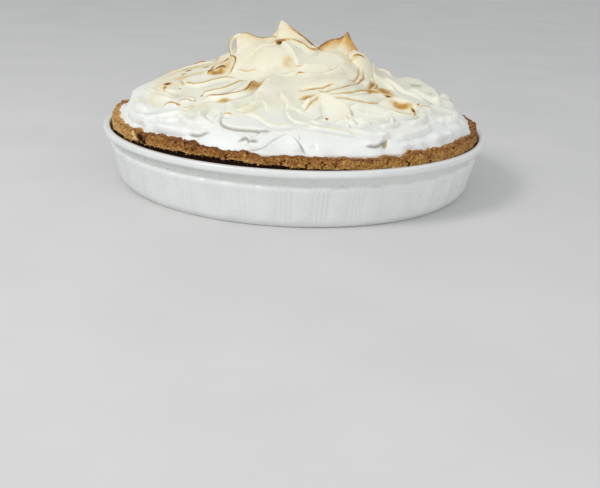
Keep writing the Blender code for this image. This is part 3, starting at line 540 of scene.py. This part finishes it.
def pastry_material():
    """Baked pastry: its crumbs stand light out of hollows darkened with painted shade."""
    nodes = Nodes("baked_pastry")
    grain = nodes.math("ADD", nodes.attribute("crumb"), nodes.range(nodes.noise(0.8, 3), -0.62, 0.62))
    colour = nodes.ramp(grain, (
        (0.05, (0.022, 0.008, 0.003)), (0.28, (0.165, 0.06, 0.014)), (0.52, (0.34, 0.148, 0.036)),
        (0.76, (0.56, 0.32, 0.095)), (1, (0.8, 0.58, 0.26))))
    return nodes.finish(
        Base_Color=colour, Specular_IOR_Level=0.2,
        Roughness=nodes.range(nodes.noise(1.5, 2), 0.6, 0.85), Normal=nodes.bump(nodes.noise(0.6, 3), 0.18))


def grain_material(name, lumps, dark, light, roughness, depth):
    """Small grains that run from dark to light, with fine bumps of this depth."""
    nodes = Nodes(name)
    colour = nodes.ramp(nodes.noise(*lumps), ((0.3, dark), (0.7, light)))
    bumps = nodes.bump(nodes.noise(0.5, 2), depth)
    return nodes.finish(Base_Color=colour, Roughness=roughness, Normal=bumps)


def meringue_material():
    """White meringue, cream to dark brown where it caught the heat, with painted shade in creases and folds.
    """
    nodes = Nodes("toasted_meringue")
    toast = nodes.attribute("toast")
    mottle = nodes.math("MULTIPLY", nodes.range(nodes.noise(2.2, 4), -0.2, 0.2), toast)
    speckle = nodes.math("MULTIPLY", nodes.range(nodes.noise(1.0, 2), -1.0, 1.0), nodes.attribute("speckle"))
    depth = nodes.math("ADD", nodes.math("ADD", toast, mottle), speckle)
    colour = nodes.ramp(depth, (
        (0, (0.86, 0.88, 0.86)), (0.15, (0.87, 0.855, 0.71)), (0.3, (0.82, 0.74, 0.52)),
        (0.5, (0.66, 0.4, 0.11)), (0.7, (0.4, 0.18, 0.035)), (0.86, (0.13, 0.048, 0.012)),
        (1, (0.025, 0.01, 0.005))))
    return nodes.finish(
        # crevice: painted shade in the creases and along the fold lines
        Base_Color=nodes.shade(colour, nodes.attribute("crease_shade"), (0.30, 0.265, 0.20)),
        Roughness=nodes.range(nodes.noise(4, 2), 0.42, 0.6), Subsurface_Weight=0.2,
        Subsurface_Radius=(1.0, 0.85, 0.6), Subsurface_Scale=0.002,
        Normal=nodes.bump(nodes.noise(1.6, 3), 0.08))


def floor_material():
    """A pale, matte studio floor."""
    nodes = Nodes("pale_floor")
    tone = nodes.ramp(nodes.noise(90, 3), ((0.35, (0.68, 0.68, 0.675)), (0.65, (0.71, 0.71, 0.70))))
    return nodes.finish(Base_Color=tone, Roughness=0.9)


# ---- dish


def arc(middle, radius, start, stop, count):
    """(radius, height) points on an arc of the profile, in degrees."""
    turn = np.radians(np.linspace(start, stop, count))
    return [(middle[0] + radius * math.cos(a), middle[1] + radius * math.sin(a)) for a in turn]


def band_radius(height):
    """The plain band below the rim, which leans out a little as it rises."""
    heights = (FLUTE_TOP + 1.3, DISH_HEIGHT - 6.4)
    return np.interp(height, heights, (BAND_RADIUS - BAND_SLOPE / 2, BAND_RADIUS + BAND_SLOPE / 2))


def make_dish(material):
    """The dish, turned from the middle of its foot round the outside to its floor."""
    steps = FLUTE_COUNT * FLUTE_STEPS
    turn = np.arange(steps) * 2 * math.pi / steps
    across = (np.arange(steps) % FLUTE_STEPS) / FLUTE_STEPS
    broad = np.sin(math.pi * np.minimum(across / FLUTE_SHARE, 1)) ** 0.6
    ribs = RIB_SHARE * np.abs(np.sin(RIB_COUNT * math.pi * (across - FLUTE_SHARE) / (1 - FLUTE_SHARE)))
    bow = np.where(across < FLUTE_SHARE, broad, ribs)

    def ring(radius, height, fluted=0.0, arch=0.0):
        r = radius + FLUTE_DEPTH * bow * fluted
        z = np.full(steps, height) - arch * (1 - bow)
        return np.stack([r * np.cos(turn), r * np.sin(turn), z], axis=1)

    rows = [ring(FOOT_INNER - 2, FOOT_RECESS), ring(FOOT_INNER, 0.0)]
    rows += [ring(r, z) for r, z in arc((FOOT_RADIUS - 1.2, 1.2), 1.2, -90, -25, 4)]
    for share in np.linspace(0, 1, 12):
        radius = FOOT_RADIUS + 1.9 + (BAND_RADIUS - FOOT_RADIUS - 2.1) * share
        rows.append(ring(radius, 2.6 + (FLUTE_TOP - 2.6) * share, ease(share * 9), FLUTE_ARCH * share**6))
    for share in np.linspace(0.25, 1, 4):
        radius = BAND_RADIUS - 0.2 - (BAND_SLOPE / 2 - 0.2) * share
        rows.append(ring(radius, FLUTE_TOP + 1.3 * share, 1 - share, FLUTE_ARCH * (1 - share)))
    under = DISH_HEIGHT - 4.6
    plain = [(band_radius(z), z) for z in np.linspace(FLUTE_TOP + 2.0, under - 1.8, 3, endpoint=False)]
    plain += arc((band_radius(under) + 1.8, under - 1.8), 1.8, 180, 90, 5)
    plain += arc((RIM_RADIUS - 1.7, under + 1.2), 1.2, -90, -10, 5)
    plain += [(RIM_RADIUS, DISH_HEIGHT - 2.4), (RIM_RADIUS - 0.35, DISH_HEIGHT - 2.0)]
    plain += arc((RIM_RADIUS - 1.7, DISH_HEIGHT - 1.5), 1.5, 5, 90, 7)
    plain += arc((RIM_INNER + 1.2, DISH_HEIGHT - 1.4), 1.4, 90, 180, 6)
    plain += [(RIM_INNER - 1.0, DISH_HEIGHT - 5.0), (RIM_INNER - 5.5, 12.0)]
    plain += [(RIM_INNER - 10.5, FLOOR_HEIGHT + 1.8), (FLOOR_RADIUS, FLOOR_HEIGHT)]
    rows += [ring(r, z) for r, z in plain]
    points, faces = turned_mesh(rows, (0, 0, FOOT_RECESS), (0, 0, FLOOR_HEIGHT))
    dish = add_object("dish_ware", points, faces, material)
    # Marks the plain band under the rim's overhang for painted shade in the glaze.
    above = ease((points[:, 2] - FLUTE_TOP - 0.3) / 1.2)
    below = ease((DISH_HEIGHT - 5.0 - points[:, 2]) / 1.2)
    add_attribute(dish.data, "band_shade", above * below)
    return dish


# ---- crust


def waves(angle, seed, counts):
    """Smooth unevenness round the pie, about -1 to 1, made of whole waves."""
    starts = np.random.default_rng(seed).uniform(0, 2 * math.pi, len(counts))
    return sum(np.sin(n * angle + start) for n, start in zip(counts, starts)) / math.sqrt(len(counts))


def turned_from(angle, place):
    """Degrees from a place on the rim, the short way round."""
    return (np.degrees(angle) - place + 180) % 360 - 180


def crust_edge(angle):
    """The crust's outer radius, top height, wall thickness and lower edge at each angle."""
    shrunk = np.exp(-((turned_from(angle, SHRINK_ANGLE) / SHRINK_SPREAD) ** 2))
    outer = CRUST_RADIUS - SHRINK_GAP * shrunk - 0.35 + 0.35 * waves(angle, 3, (17, 29, 41))
    top = CRUST_TOP + 0.5 * waves(angle, 5, (22, 37, 58, 90)) + 0.12 * waves(angle, 9, (131, 173, 211))
    for place, width, rise in CRUST_BUMPS:
        top = top + rise * np.exp(-((turned_from(angle, place) / width) ** 2))
    wall = CRUST_WALL + 0.8 * waves(angle, 8, (9, 21, 33))
    hem = HEM_HEIGHT + HEM_LIFT * shrunk + 0.35 * waves(angle, 12, (23, 37, 61, 90))
    return outer, top, wall, hem


def crust_rows(angle):
    """Rings of the crust's plain shape, how rough each is and its tone, from its base inwards."""
    outer, top, wall, hem = crust_edge(angle)
    inside = RIM_INNER - 1.4
    # The rows up to the hem lie in the gap from the rim; their dark tones there are painted shade.
    rows = [
        (FLOOR_RADIUS - 1.5, FLOOR_HEIGHT + 0.35, 0.0, 0.0), (inside - 10.5, FLOOR_HEIGHT + 3.2, 0.0, 0.0),
        (inside - 5.4, 13.0, 0.0, 0.0), (inside - 2.5, SHRINK_DEPTH - 6.0, 0.0, -0.6),
    ]
    for share in np.linspace(0, 1, 6):
        rows.append((outer - 3.2 + share, SHRINK_DEPTH - 4 + (hem - SHRINK_DEPTH + 3.4) * share, 0.3, -0.75))
    for share in np.linspace(0, 1, 5):
        rows.append((outer - 2.2 + 2.0 * share, hem - 0.6 + 0.8 * share**2, 1.0, -0.5 + 0.8 * share))
    for share in np.linspace(0.05, 1, 22):
        radius = outer - 0.2 * (1 - share) - 0.5 * share**4
        tone = 0.3 * (1 - share) ** 6 - 0.22 * share**8
        rows.append((radius, hem + 0.2 + (top - 0.9 - hem - 0.2) * share, 1.0, tone))
    for share in np.linspace(0.08, 1, 12):
        height = top - 0.9 + 0.9 * np.sin(math.pi * share) - 0.6 * share
        rows.append((outer - 0.5 - (wall - 0.5) * share, height, 1.0, -0.22 * (1 - share) ** 3))
    rows.append((outer - wall - 1.0, top - 3.0, 0.6, 0.0))
    rows.append((outer - wall - 3.0, FILLING_TOP, 0.0, 0.0))
    return rows


def crack_depth(angle, height):
    """How deep the crust's cracks are: they wander down its side."""
    depth = 0.0
    for number, (place, width, deep) in enumerate(CRUST_CRACKS):
        wander = 0.5 * np.sin(0.9 * height + number) + 0.3 * np.sin(2.3 * height + 2 * number)
        depth = depth + deep * np.exp(-(((turned_from(angle, place) + wander) / width) ** 2))
    return depth


def make_crust(material):
    """Pastry and filling as one solid: a disc that fills the dish, with a crumbly rim."""
    angle = np.arange(CRUST_STEPS) * 2 * math.pi / CRUST_STEPS
    noise = Noise(11)
    pale = 0.49
    for place, width, much in CRUST_PALE:
        pale = pale + much * np.exp(-((turned_from(angle, place) / width) ** 2))
    rows, crumbs = [], []
    top = crust_edge(angle)[1]
    for radius, height, rough, tone in crust_rows(angle):
        row = np.stack([radius * np.cos(angle), radius * np.sin(angle), height + 0 * angle], axis=1)
        lumps = 0.45 * noise.at(row, 6.0) + 0.3 * noise.at(row + 40, 2.4)
        grain = 0.4 * noise.at(row + 80, 1.15)
        pits = np.clip(noise.at(row + 120, 2.2) - 0.4, 0, 1) * 1.3
        cracks = crack_depth(angle, height) * ease((top - 1.2 - height) / 2.5)
        outward = np.stack([np.cos(angle), np.sin(angle), np.full_like(angle, 0.8)], axis=1)
        moved = 0.6 * lumps + 0.6 * grain - pits - cracks
        rows.append(row + outward * (rough * moved)[:, None])
        # pits and cracks are darkened as painted shade; lumps and grain vary the bake
        crumbs.append(tone + pale + 0.1 * lumps + 0.45 * grain - 0.5 * pits - 0.8 * cracks)
    points, faces = turned_mesh(rows, (0, 0, FLOOR_HEIGHT + 0.35), (0, 0, FILLING_TOP))
    crust = add_object("crust_pastry", points, faces, material)
    add_attribute(crust.data, "crumb", np.concatenate([[0.5], *crumbs, [0.5]]))
    return crust


# ---- meringue


class Chart:
    """Unrolls the mound: (u, v) is measured along its surface from the crown, v to the back."""

    def __init__(self):
        self.line = smooth_path(MOUND, 0.5)
        steps = np.linalg.norm(np.diff(self.line, axis=0), axis=1)
        self.length = np.concatenate([[0], np.cumsum(steps)])
        self.reach = self.length[-1]

    def profile(self, s):
        """The mound's radius and height this far from the crown."""
        return np.array([np.interp(s, self.length, self.line[:, k]) for k in (0, 1)])

    def place(self, u, v):
        """Each chart point's place, outward normal, and directions of u and v."""
        s, turn = np.hypot(u, v), np.arctan2(v, u)
        radius, height = self.profile(s)
        out, up = self.profile(s + 1) - self.profile(s - 1)
        slope = np.hypot(out, up)
        out, up = out / slope, up / slope
        c, n = np.cos(turn), np.sin(turn)
        place = np.stack([radius * c, radius * n, height], axis=1)
        normal = np.stack([-up * c, -up * n, out], axis=1)
        outward = np.stack([out * c, out * n, up], axis=1)
        around = np.stack([-n, c, np.zeros_like(n)], axis=1)
        along_u = outward * c[:, None] - around * n[:, None]
        along_v = outward * n[:, None] + around * c[:, None]
        return place, normal, along_u, along_v


def nearest_on_path(u, v, path):
    """Each point's signed distance from a path, left being positive, and its share along it."""
    start, step = path[:-1], np.diff(path, axis=0)
    lengths = np.linalg.norm(step, axis=1)
    before = np.concatenate([[0], np.cumsum(lengths)])
    best, side, share = np.full(u.shape, np.inf), np.ones(u.shape), np.zeros(u.shape)
    for (a, b), (p, q), length, done in zip(start, step, lengths, before):
        t = np.clip(((u - a) * p + (v - b) * q) / length**2, 0, 1)
        apart = (u - a - t * p) ** 2 + (v - b - t * q) ** 2
        closer = apart < best
        best = np.where(closer, apart, best)
        side = np.where(closer, np.sign(p * (v - b) - q * (u - a)), side)
        share = np.where(closer, (done + t * length) / before[-1], share)
    return np.sqrt(best) * side, share


class Relief:
    """Heights above the mound, sideways pushes, toast, speckle and painted fold shade, at a set of chart
    points.
    """

    def __init__(self, u, v):
        self.u, self.v = u, v
        self.rise = np.zeros(u.shape)
        self.push = np.zeros((len(u), 2))
        self.looks = np.zeros((3, len(u)))
        # toast and speckle are browning; line is painted shade along the folds
        self.toast, self.speckle, self.line = self.looks

    def near(self, path, reach):
        """The points within reach of a path's box, with how far across it and along it each is."""
        low, high = path.min(axis=0) - reach, path.max(axis=0) + reach
        inside = (self.u > low[0]) & (self.u < high[0]) & (self.v > low[1]) & (self.v < high[1])
        near = np.nonzero(inside)[0]
        return near, *nearest_on_path(self.u[near], self.v[near], path)

    def pillow(self, p):
        c, n = math.cos(math.radians(p.turn)), math.sin(math.radians(p.turn))
        u, v = self.u - p.u, self.v - p.v
        apart = ((u * c + v * n) / p.wide) ** 2 + ((v * c - u * n) / p.deep) ** 2
        self.rise += p.height * np.clip(1 - apart, 0, 1) ** p.edge

    def ridge(self, r):
        path = smooth_path(np.reshape(r.path, (-1, 2)), 1.5)
        near, across, share = self.near(path, max(r.left, r.right) * 1.3 + 2)
        swell = ease(share / r.ends[0]) ** 0.8 * ease((1 - share) / r.ends[1]) ** 0.8
        width = np.where(across >= 0, r.left, r.right) * (0.35 + 0.65 * swell)
        inside = np.clip(1 - np.abs(across) / width, 0, 1)
        flank = inside ** np.where(across >= 0, *r.fall)
        kept = 1 - ease((1 - np.abs(across) / (1.25 * width)) * 2.2) * swell * r.clear
        foot = -r.right if r.right <= r.left else r.left
        dip = (r.height > 0) * np.exp(-(((across - foot * 0.95) / (0.8 + 0.12 * abs(foot))) ** 2))
        # line: a stroke of painted shade along the fold's steeper foot
        lined = r.line * np.sqrt(swell) * np.exp(-(((across - foot * 0.75) / 0.65) ** 2))
        self.line[near] = np.maximum(self.line[near] * kept, lined)
        self.rise[near] = self.rise[near] * kept + r.height * swell * (flank - r.crease * dip)
        along = unit(np.gradient(path, axis=0))[(share * (len(path) - 1)).astype(int)]
        lean = (r.lean * swell * flank**2)[:, None]
        leftward = np.stack([-along[:, 1], along[:, 0]], axis=1)
        self.push[near] = self.push[near] * kept[:, None] + leftward * lean
        spread = np.where(across >= 0, 1.7, 0.8) * r.stain
        browned = r.toast * np.sqrt(swell) * np.exp(-((across / spread) ** 2))
        self.toast[near] = np.maximum(self.toast[near] * kept, browned)

    # A browned stroke, or one of the few strokes of painted shade.
    def stain(self, path, width, toast, speckle=0.0):
        near, across, share = self.near(smooth_path(np.reshape(path, (-1, 2)), 1.0), 2 * width)
        strength = np.exp(-((across / width) ** 2)) * (0.6 + 0.4 * np.sin(math.pi * share))
        self.toast[near] = np.maximum(self.toast[near], toast * strength)
        self.speckle[near] = np.maximum(self.speckle[near], speckle * strength)


def swirls():
    """Ridges for the sides and back: shingled swoops with their lips downhill."""
    rng = np.random.default_rng(21)
    made = []
    for reach, step, length in ((46, 38, 44), (66, 30, 56), (86, 25, 58), (103, 21, 50), (114, 18, 38)):
        for turn in np.arange(44, 142, step) + rng.uniform(0, step / 2):
            slope = rng.choice((-1, 1)) * rng.uniform(3, 15)
            bulge = rng.uniform(-3, 8)
            path = []
            for share in np.linspace(-1, 1, 5):
                bend = math.radians(turn) + share * length / 2 / reach
                away = reach + slope * share + bulge * (0.5 - share**2)
                path += (away * math.cos(bend), away * math.sin(bend))
            height = rng.uniform(2, 5) * (0.6 if reach < 50 else 1)
            browned = rng.uniform(0.1, 0.9) if reach < 90 else rng.uniform(0, 0.35)
            widths = rng.uniform(9, 15), rng.uniform(2.6, 5)
            made.append(Ridge(tuple(path), height, *widths, (1.3, 1.3), (0.2, 0.3), -0.8, 0.15, browned))
    for _ in range(26):
        turn, away = math.radians(rng.uniform(30, 150)), rng.uniform(50, 112)
        size = rng.uniform(7, 13), rng.uniform(5, 9), rng.uniform(1, 2.6)
        made.append(Pillow(away * math.cos(turn), away * math.sin(turn), *size, 0.9, rng.uniform(0, 180)))
    return made


def mound_mesh(chart):
    """Points, faces and looks of the swept mound, closed underneath by its bed."""
    rings, spokes = MERINGUE_RINGS, MERINGUE_SPOKES
    s = np.linspace(0, chart.reach, rings + 1)[1:]
    turn = np.arange(spokes) * 2 * math.pi / spokes
    u = np.concatenate([[0], np.outer(s, np.cos(turn)).ravel()])
    v = np.concatenate([[0], np.outer(s, np.sin(turn)).ravel()])
    relief = Relief(u, v)
    for feature in (*BODY, *swirls(), *CROWN, *LEFT, *MIDDLE, *FAN, *HEART, *RIGHT):
        (relief.pillow if isinstance(feature, Pillow) else relief.ridge)(feature)
    for stroke in STAINS_AND_SHADE:
        relief.stain(*stroke)
    place, normal, along_u, along_v = chart.place(u, v)
    edge = ease((chart.reach - np.hypot(u, v)) / 6)[:, None]
    noise = Noise(23)
    rough = 0.32 * noise.at(place, 7) + 0.13 * noise.at(place, 2.4)
    moved = normal * (relief.rise + rough)[:, None]
    moved = moved + along_u * relief.push[:, :1] + along_v * relief.push[:, 1:]
    wander = 0.008 * waves(np.arctan2(v, u), 17, (9, 16, 27, 44)) * ease(np.hypot(u, v) / chart.reach * 3 - 2)
    top = (place + moved * edge) * np.stack([1 + wander, 1 + wander, np.ones_like(u)], axis=1)
    bed = top[-spokes:] * (0.98, 0.98, 0) + (0, 0, MERINGUE_BED)
    rows = [*np.split(top[1:], rings), bed]
    points, faces = turned_mesh(rows, top[0], (0, 0, MERINGUE_BED))
    return points, [face[::-1] for face in faces], np.hstack([relief.looks, np.zeros((3, spokes + 1))])


def two_sided(front, back):
    """Rings up a sheet's front and down its back."""
    return np.concatenate([front, back[:, ::-1]], axis=1)


def tube(rings):
    """Points and faces of a closed tube through rings of points."""
    along, around = rings.shape[:2]
    last = (along - 1) * around
    faces = [tuple(range(around))[::-1], tuple(range(last, last + around))]
    for low in range(0, last, around):
        faces += band_faces(low, low + around, around)
    return rings.reshape(-1, 3), faces


def fin_mesh(root, lip, bulge, thick, toast, tint, streaks=0.0, across=90, up=40):
    """A closed sheet between its root and its lip, bulging to the front, and its looks.

    thick is its thickness at the root and the lip. toast browns the lip along its length, tint the
    face below it, and streaks is the depth of the fine grooves that run along the face.
    """
    root, lip = spaced_path(root, across), spaced_path(lip, across)
    s = np.linspace(0, 1, up)[None, :, None]
    middle = root[:, None] * (1 - s) + lip[:, None] * s
    middle[:, :, 1] -= bulge * (4 * s * (1 - s))[:, :, 0]
    normal = unit(np.cross(np.gradient(middle, axis=0), np.gradient(middle, axis=1)))
    width = thick[1] + (thick[0] - thick[1]) * (1 - s) ** 1.3
    share = np.linspace(0, 1, across)
    comb = np.sin(44 * s + 9 * share[:, None, None])
    comb = comb + 0.6 * np.sin(97 * s - 17 * share[:, None, None]) * ease((1 - s) * 5)
    front, back = middle + normal * (width / 2 + streaks * comb), middle - normal * width / 2
    below = np.linalg.norm(middle - lip[:, None], axis=2)
    strength = np.interp(share, np.linspace(0, 1, len(toast)), toast)
    shade = tint * (1 + 1.5 * streaks * comb[:, :, 0]) * np.exp(-below / 16)
    toast = np.maximum(strength[:, None] * np.exp(-((below / 0.9) ** 2)), shade)
    return *tube(two_sided(front, back)), np.outer((1, 0, 0), two_sided(toast, toast))


def loop_mesh(path, widths, thick, toast, along=80, around=24):
    """A closed oval ribbon along a path, its width from front to back, and its looks."""
    path = spaced_path(path, along)
    way = unit(np.gradient(path, axis=0))
    wide = unit(np.array((0.3, 1.0, 0.0)) - way * (way @ (0.3, 1.0, 0.0))[:, None])
    deep = np.cross(way, wide)
    share = np.linspace(0, 1, along)
    width, depth, strength = (np.interp(share, np.linspace(0, 1, len(values)), values)[:, None]
                              for values in (widths, thick, toast))
    turn = np.arange(around) * 2 * math.pi / around
    oval = wide[:, None] * np.cos(turn)[None, :, None] * width[:, None] / 2
    oval = oval + deep[:, None] * np.sin(turn)[None, :, None] * depth[:, None] / 2
    front = np.clip(-1.3 - 2.0 * np.cos(turn) - 0.8 * np.sin(turn), 0, 1)
    return *tube(path[:, None] + oval), np.outer((1, 0, 0), np.maximum(strength * front, 0.12))


def add_browning_and_shade(obj, looks):
    """The looks (toast, speckle, painted fold shade) as a colour, for the fused mesh to take over."""
    layer = obj.data.color_attributes.new("browning_and_shade", "FLOAT_COLOR", "POINT")
    colours = np.vstack([looks, np.ones(looks.shape[1])]).T
    layer.data.foreach_set("color", colours.astype(np.float32).ravel())


def browning_and_shade_of(mesh):
    return read(mesh.color_attributes["browning_and_shade"].data, "color", 4, np.float32)[:, :3].T


def fuse(shells, material):
    """One even mesh round all the shells, which keeps their toast, speckle and painted fold shade."""
    points, faces = joined([shell[:2] for shell in shells])
    source = add_object("shells", points, faces, material)
    add_browning_and_shade(source, np.hstack([shell[2] for shell in shells]))
    fused = new_object("meringue_heap", source.data.copy())
    remesh = fused.modifiers.new("fuse", "REMESH")
    remesh.mode = "VOXEL"
    remesh.voxel_size = MERINGUE_VOXEL * MM
    soften = fused.modifiers.new("soften", "SMOOTH")
    soften.iterations = 1
    apply_modifiers(fused)
    add_browning_and_shade(fused, np.zeros((3, len(fused.data.vertices))))
    carry = fused.modifiers.new("carry", "DATA_TRANSFER")
    carry.object = source
    carry.use_vert_data = True
    carry.data_types_verts = {"COLOR_VERTEX"}
    carry.vert_mapping = "POLYINTERP_NEAREST"
    apply_modifiers(fused)
    bpy.data.objects.remove(source)
    return fused


def thin_out(obj, triangles):
    """Fewer triangles, with most of them kept where the surface bends, is browned or has painted shade lines.
    """
    mesh = obj.data
    a, b = read(mesh.edges, "vertices", 2, int).T
    normal = read(mesh.vertices, "normal")
    toast, _, line = browning_and_shade_of(mesh)
    change = (1 - (normal[a] * normal[b]).sum(axis=1)) * 4 + np.abs(toast[a] - toast[b]) * 6
    change += np.abs(line[a] - line[b]) * 5
    detail = np.zeros(len(mesh.vertices))
    np.maximum.at(detail, a, change)
    np.maximum.at(detail, b, change)
    level = np.digitize(detail, (0.1, 0.3, 0.6))
    group = obj.vertex_groups.new(name="detail")
    for step, weight in enumerate((1.0, 0.6, 0.3, 0.1)):
        group.add(np.nonzero(level == step)[0].tolist(), weight, "REPLACE")
    mesh.calc_loop_triangles()
    fewer = obj.modifiers.new("fewer", "DECIMATE")
    fewer.ratio = min(1.0, triangles / len(mesh.loop_triangles))
    fewer.vertex_group = "detail"
    fewer.vertex_group_factor = 1.0
    fewer.use_collapse_triangulate = True
    apply_modifiers(obj)


def hollow_of(mesh):
    """How far each point lies in a crease: its neighbours' mean rise over its tangent plane."""
    a, b = read(mesh.edges, "vertices", 2, int).T
    places, normal = read(mesh.vertices, "co") / MM, read(mesh.vertices, "normal")
    way = unit(places[b] - places[a])
    count = len(places)

    def mean(at_a, at_b):
        return (np.bincount(a, at_a, count) + np.bincount(b, at_b, count)) / shared

    shared = np.bincount(a, minlength=count) + np.bincount(b, minlength=count)
    rise = mean((way * normal[a]).sum(axis=1), -(way * normal[b]).sum(axis=1))
    return 0.6 * rise + 0.4 * mean(rise[b], rise[a])


def colour_meringue(mesh):
    """The looks as the material reads them, with the tint of the heights and painted shade in the creases."""
    toast, speckle, line = browning_and_shade_of(mesh)
    places = read(mesh.vertices, "co") / MM
    up = read(mesh.vertices, "normal")[:, 2]
    noise = Noise(5)
    tint = np.interp(places[:, 2], (50, 58, 66, 84, 106), (0, 0.05, 0.13, 0.2, 0.27))
    tint = tint * (1 + 0.3 * noise.at(places, 20)) * (0.8 + 0.25 * up)
    patchy = toast * (1 + 0.22 * noise.at(places, 5))
    # toast also holds the few strokes of painted shade
    add_attribute(mesh, "toast", np.clip(np.maximum(patchy, tint), 0, 1))
    add_attribute(mesh, "speckle", speckle)
    # painted shade: darker where the surface lies in a crease, and along the fold lines
    hollow = np.clip((hollow_of(mesh) - 0.06) / 0.4, 0, 0.45)
    add_attribute(mesh, "crease_shade", np.maximum(hollow, 0.85 * line))
    mesh.color_attributes.remove(mesh.color_attributes["browning_and_shade"])


def make_meringue(material):
    """The mound and its crown, as one closed surface."""
    shells = [mound_mesh(Chart())]
    shells += [fin_mesh(*fin) for fin in FINS]
    shells += [loop_mesh(*CURL)]
    meringue = fuse(shells, material)
    thin_out(meringue, MERINGUE_TRIANGLES)
    colour_meringue(meringue.data)
    meringue.data.shade_smooth()
    return meringue


# ---- loose crumbs


def lump(rng, size):
    """A small uneven closed crumb: the twenty faces of an icosahedron, pulled about."""
    long = (1 + math.sqrt(5)) / 2
    corners = [(x, y * long, 0.0) for x in (-1, 1) for y in (-1, 1)]
    corners = np.array(corners + [(0, c[0], c[1]) for c in corners] + [(c[1], 0, c[0]) for c in corners])
    near = np.linalg.norm(corners[:, None] - corners[None], axis=2) < 2.1
    faces = []
    for a, b, c in itertools.combinations(range(12), 3):
        if near[a, b] and near[b, c] and near[a, c]:
            outward = np.linalg.det(corners[[a, b, c]]) > 0
            faces.append((a, b, c) if outward else (a, c, b))
    return corners / 1.9 * rng.uniform(0.6, 1.1, (12, 1)) * rng.uniform(0.6, 1.1, 3) * size / 2, faces


def lump_at(rng, size, angle, radius, height):
    points, faces = lump(rng, size)
    return points + (radius * math.cos(angle), radius * math.sin(angle), height), faces


def make_crumbs(material):
    """Loose crumbs along the crust's lower edge, thickest where it shrank from the rim."""
    rng = np.random.default_rng(31)
    meshes = []
    for _ in range(CRUMB_COUNT):
        if rng.random() < 0.5:
            angle = rng.uniform(0, 2 * math.pi)
        else:
            angle = math.radians(rng.normal(SHRINK_ANGLE, 22))
        outer, _, _, hem = crust_edge(np.array([angle]))
        size = rng.uniform(0.5, 1.1) * rng.choice((1, 1, 1.6))
        radius = outer[0] + rng.uniform(-1.0, 0.3)
        height = hem[0] + rng.normal(0.3, 0.5)
        meshes.append(lump_at(rng, size, angle, radius, height))
    crumbs = add_object("crust_crumbs", *joined(meshes), material)
    crumbs.data.shade_flat()
    return crumbs


def make_specks(material):
    """Dark pin specks in the glaze of the plain band, most of them left of the front."""
    rng = np.random.default_rng(47)
    meshes = []
    for number in range(SPECK_COUNT):
        angle = math.radians(rng.normal(-121, 13) if number < 0.7 * SPECK_COUNT else rng.uniform(-180, 180))
        height = FLUTE_TOP + min(0.6 + rng.exponential(2.4), 7.5)
        meshes.append(lump_at(rng, rng.uniform(0.25, 0.6), angle, band_radius(height), height))
    return add_object("glaze_specks", *joined(meshes), material)


# ---- stage


def add_camera():
    data = bpy.data.cameras.new("camera")
    data.lens = CAMERA_LENS
    data.sensor_width = 36.0
    camera = new_object("camera", data)
    place, aim = Vector(CAMERA_PLACE) * MM, Vector(CAMERA_AIM) * MM
    facing = (aim - place).to_track_quat("-Z", "Y").to_matrix().to_4x4()
    facing = facing @ Matrix.Rotation(math.radians(CAMERA_ROLL), 4, "Z")
    camera.matrix_world = Matrix.Translation(place) @ facing
    bpy.context.scene.camera = camera


def add_light(name, place, size, power, tone=(1.0, 1.0, 1.0)):
    """A soft square light that faces the pie."""
    data = bpy.data.lights.new(name, "AREA")
    data.size = size
    data.energy = power
    data.color = tone
    light = new_object(name, data)
    light.visible_camera = False
    light.location = place
    light.rotation_euler = (Vector((0, 0, 0.05)) - Vector(place)).to_track_quat("-Z", "Y").to_euler()


def add_stage():
    """A pale floor, soft daylight all round and two broad lamps."""
    corners = (-9e3, -9e3, 0), (9e3, -9e3, 0), (9e3, 9e3, 0), (-9e3, 9e3, 0)
    floor = add_object("floor", corners, [(0, 1, 2, 3)], floor_material())
    world = bpy.data.worlds.new("studio")
    world.use_nodes = True
    sky = world.node_tree.nodes["Background"].inputs
    sky["Color"].default_value = (0.97, 0.985, 1.0, 1.0)
    sky["Strength"].default_value = 0.61
    bpy.context.scene.world = world
    add_light("key", (-0.85, -0.75, 1.0), 0.45, 8, (1.0, 0.99, 0.97))
    add_light("fill", (0.7, -1.5, 0.3), 1.0, 6)
    bpy.context.scene.view_settings.view_transform = "Standard"


# ---- assembly


def place_piece(piece, node=None):
    """Rides a piece on the one body and for the CAD solid it replaces."""
    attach(piece, "root")
    if node:
        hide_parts(node)


add_camera()
add_stage()
place_piece(make_dish(glaze_material()), "dish")
place_piece(make_crust(pastry_material()), "crust")
place_piece(make_meringue(meringue_material()), "meringue")
crumb = grain_material("loose_crumb", (1.4, 3), (0.26, 0.13, 0.04), (0.66, 0.43, 0.16), 0.8, 0.1)
place_piece(make_crumbs(crumb))
speck = grain_material("iron_speck", (1.0, 2), (0.05, 0.045, 0.04), (0.22, 0.21, 0.19), 0.4, 0.05)
place_piece(make_specks(speck))
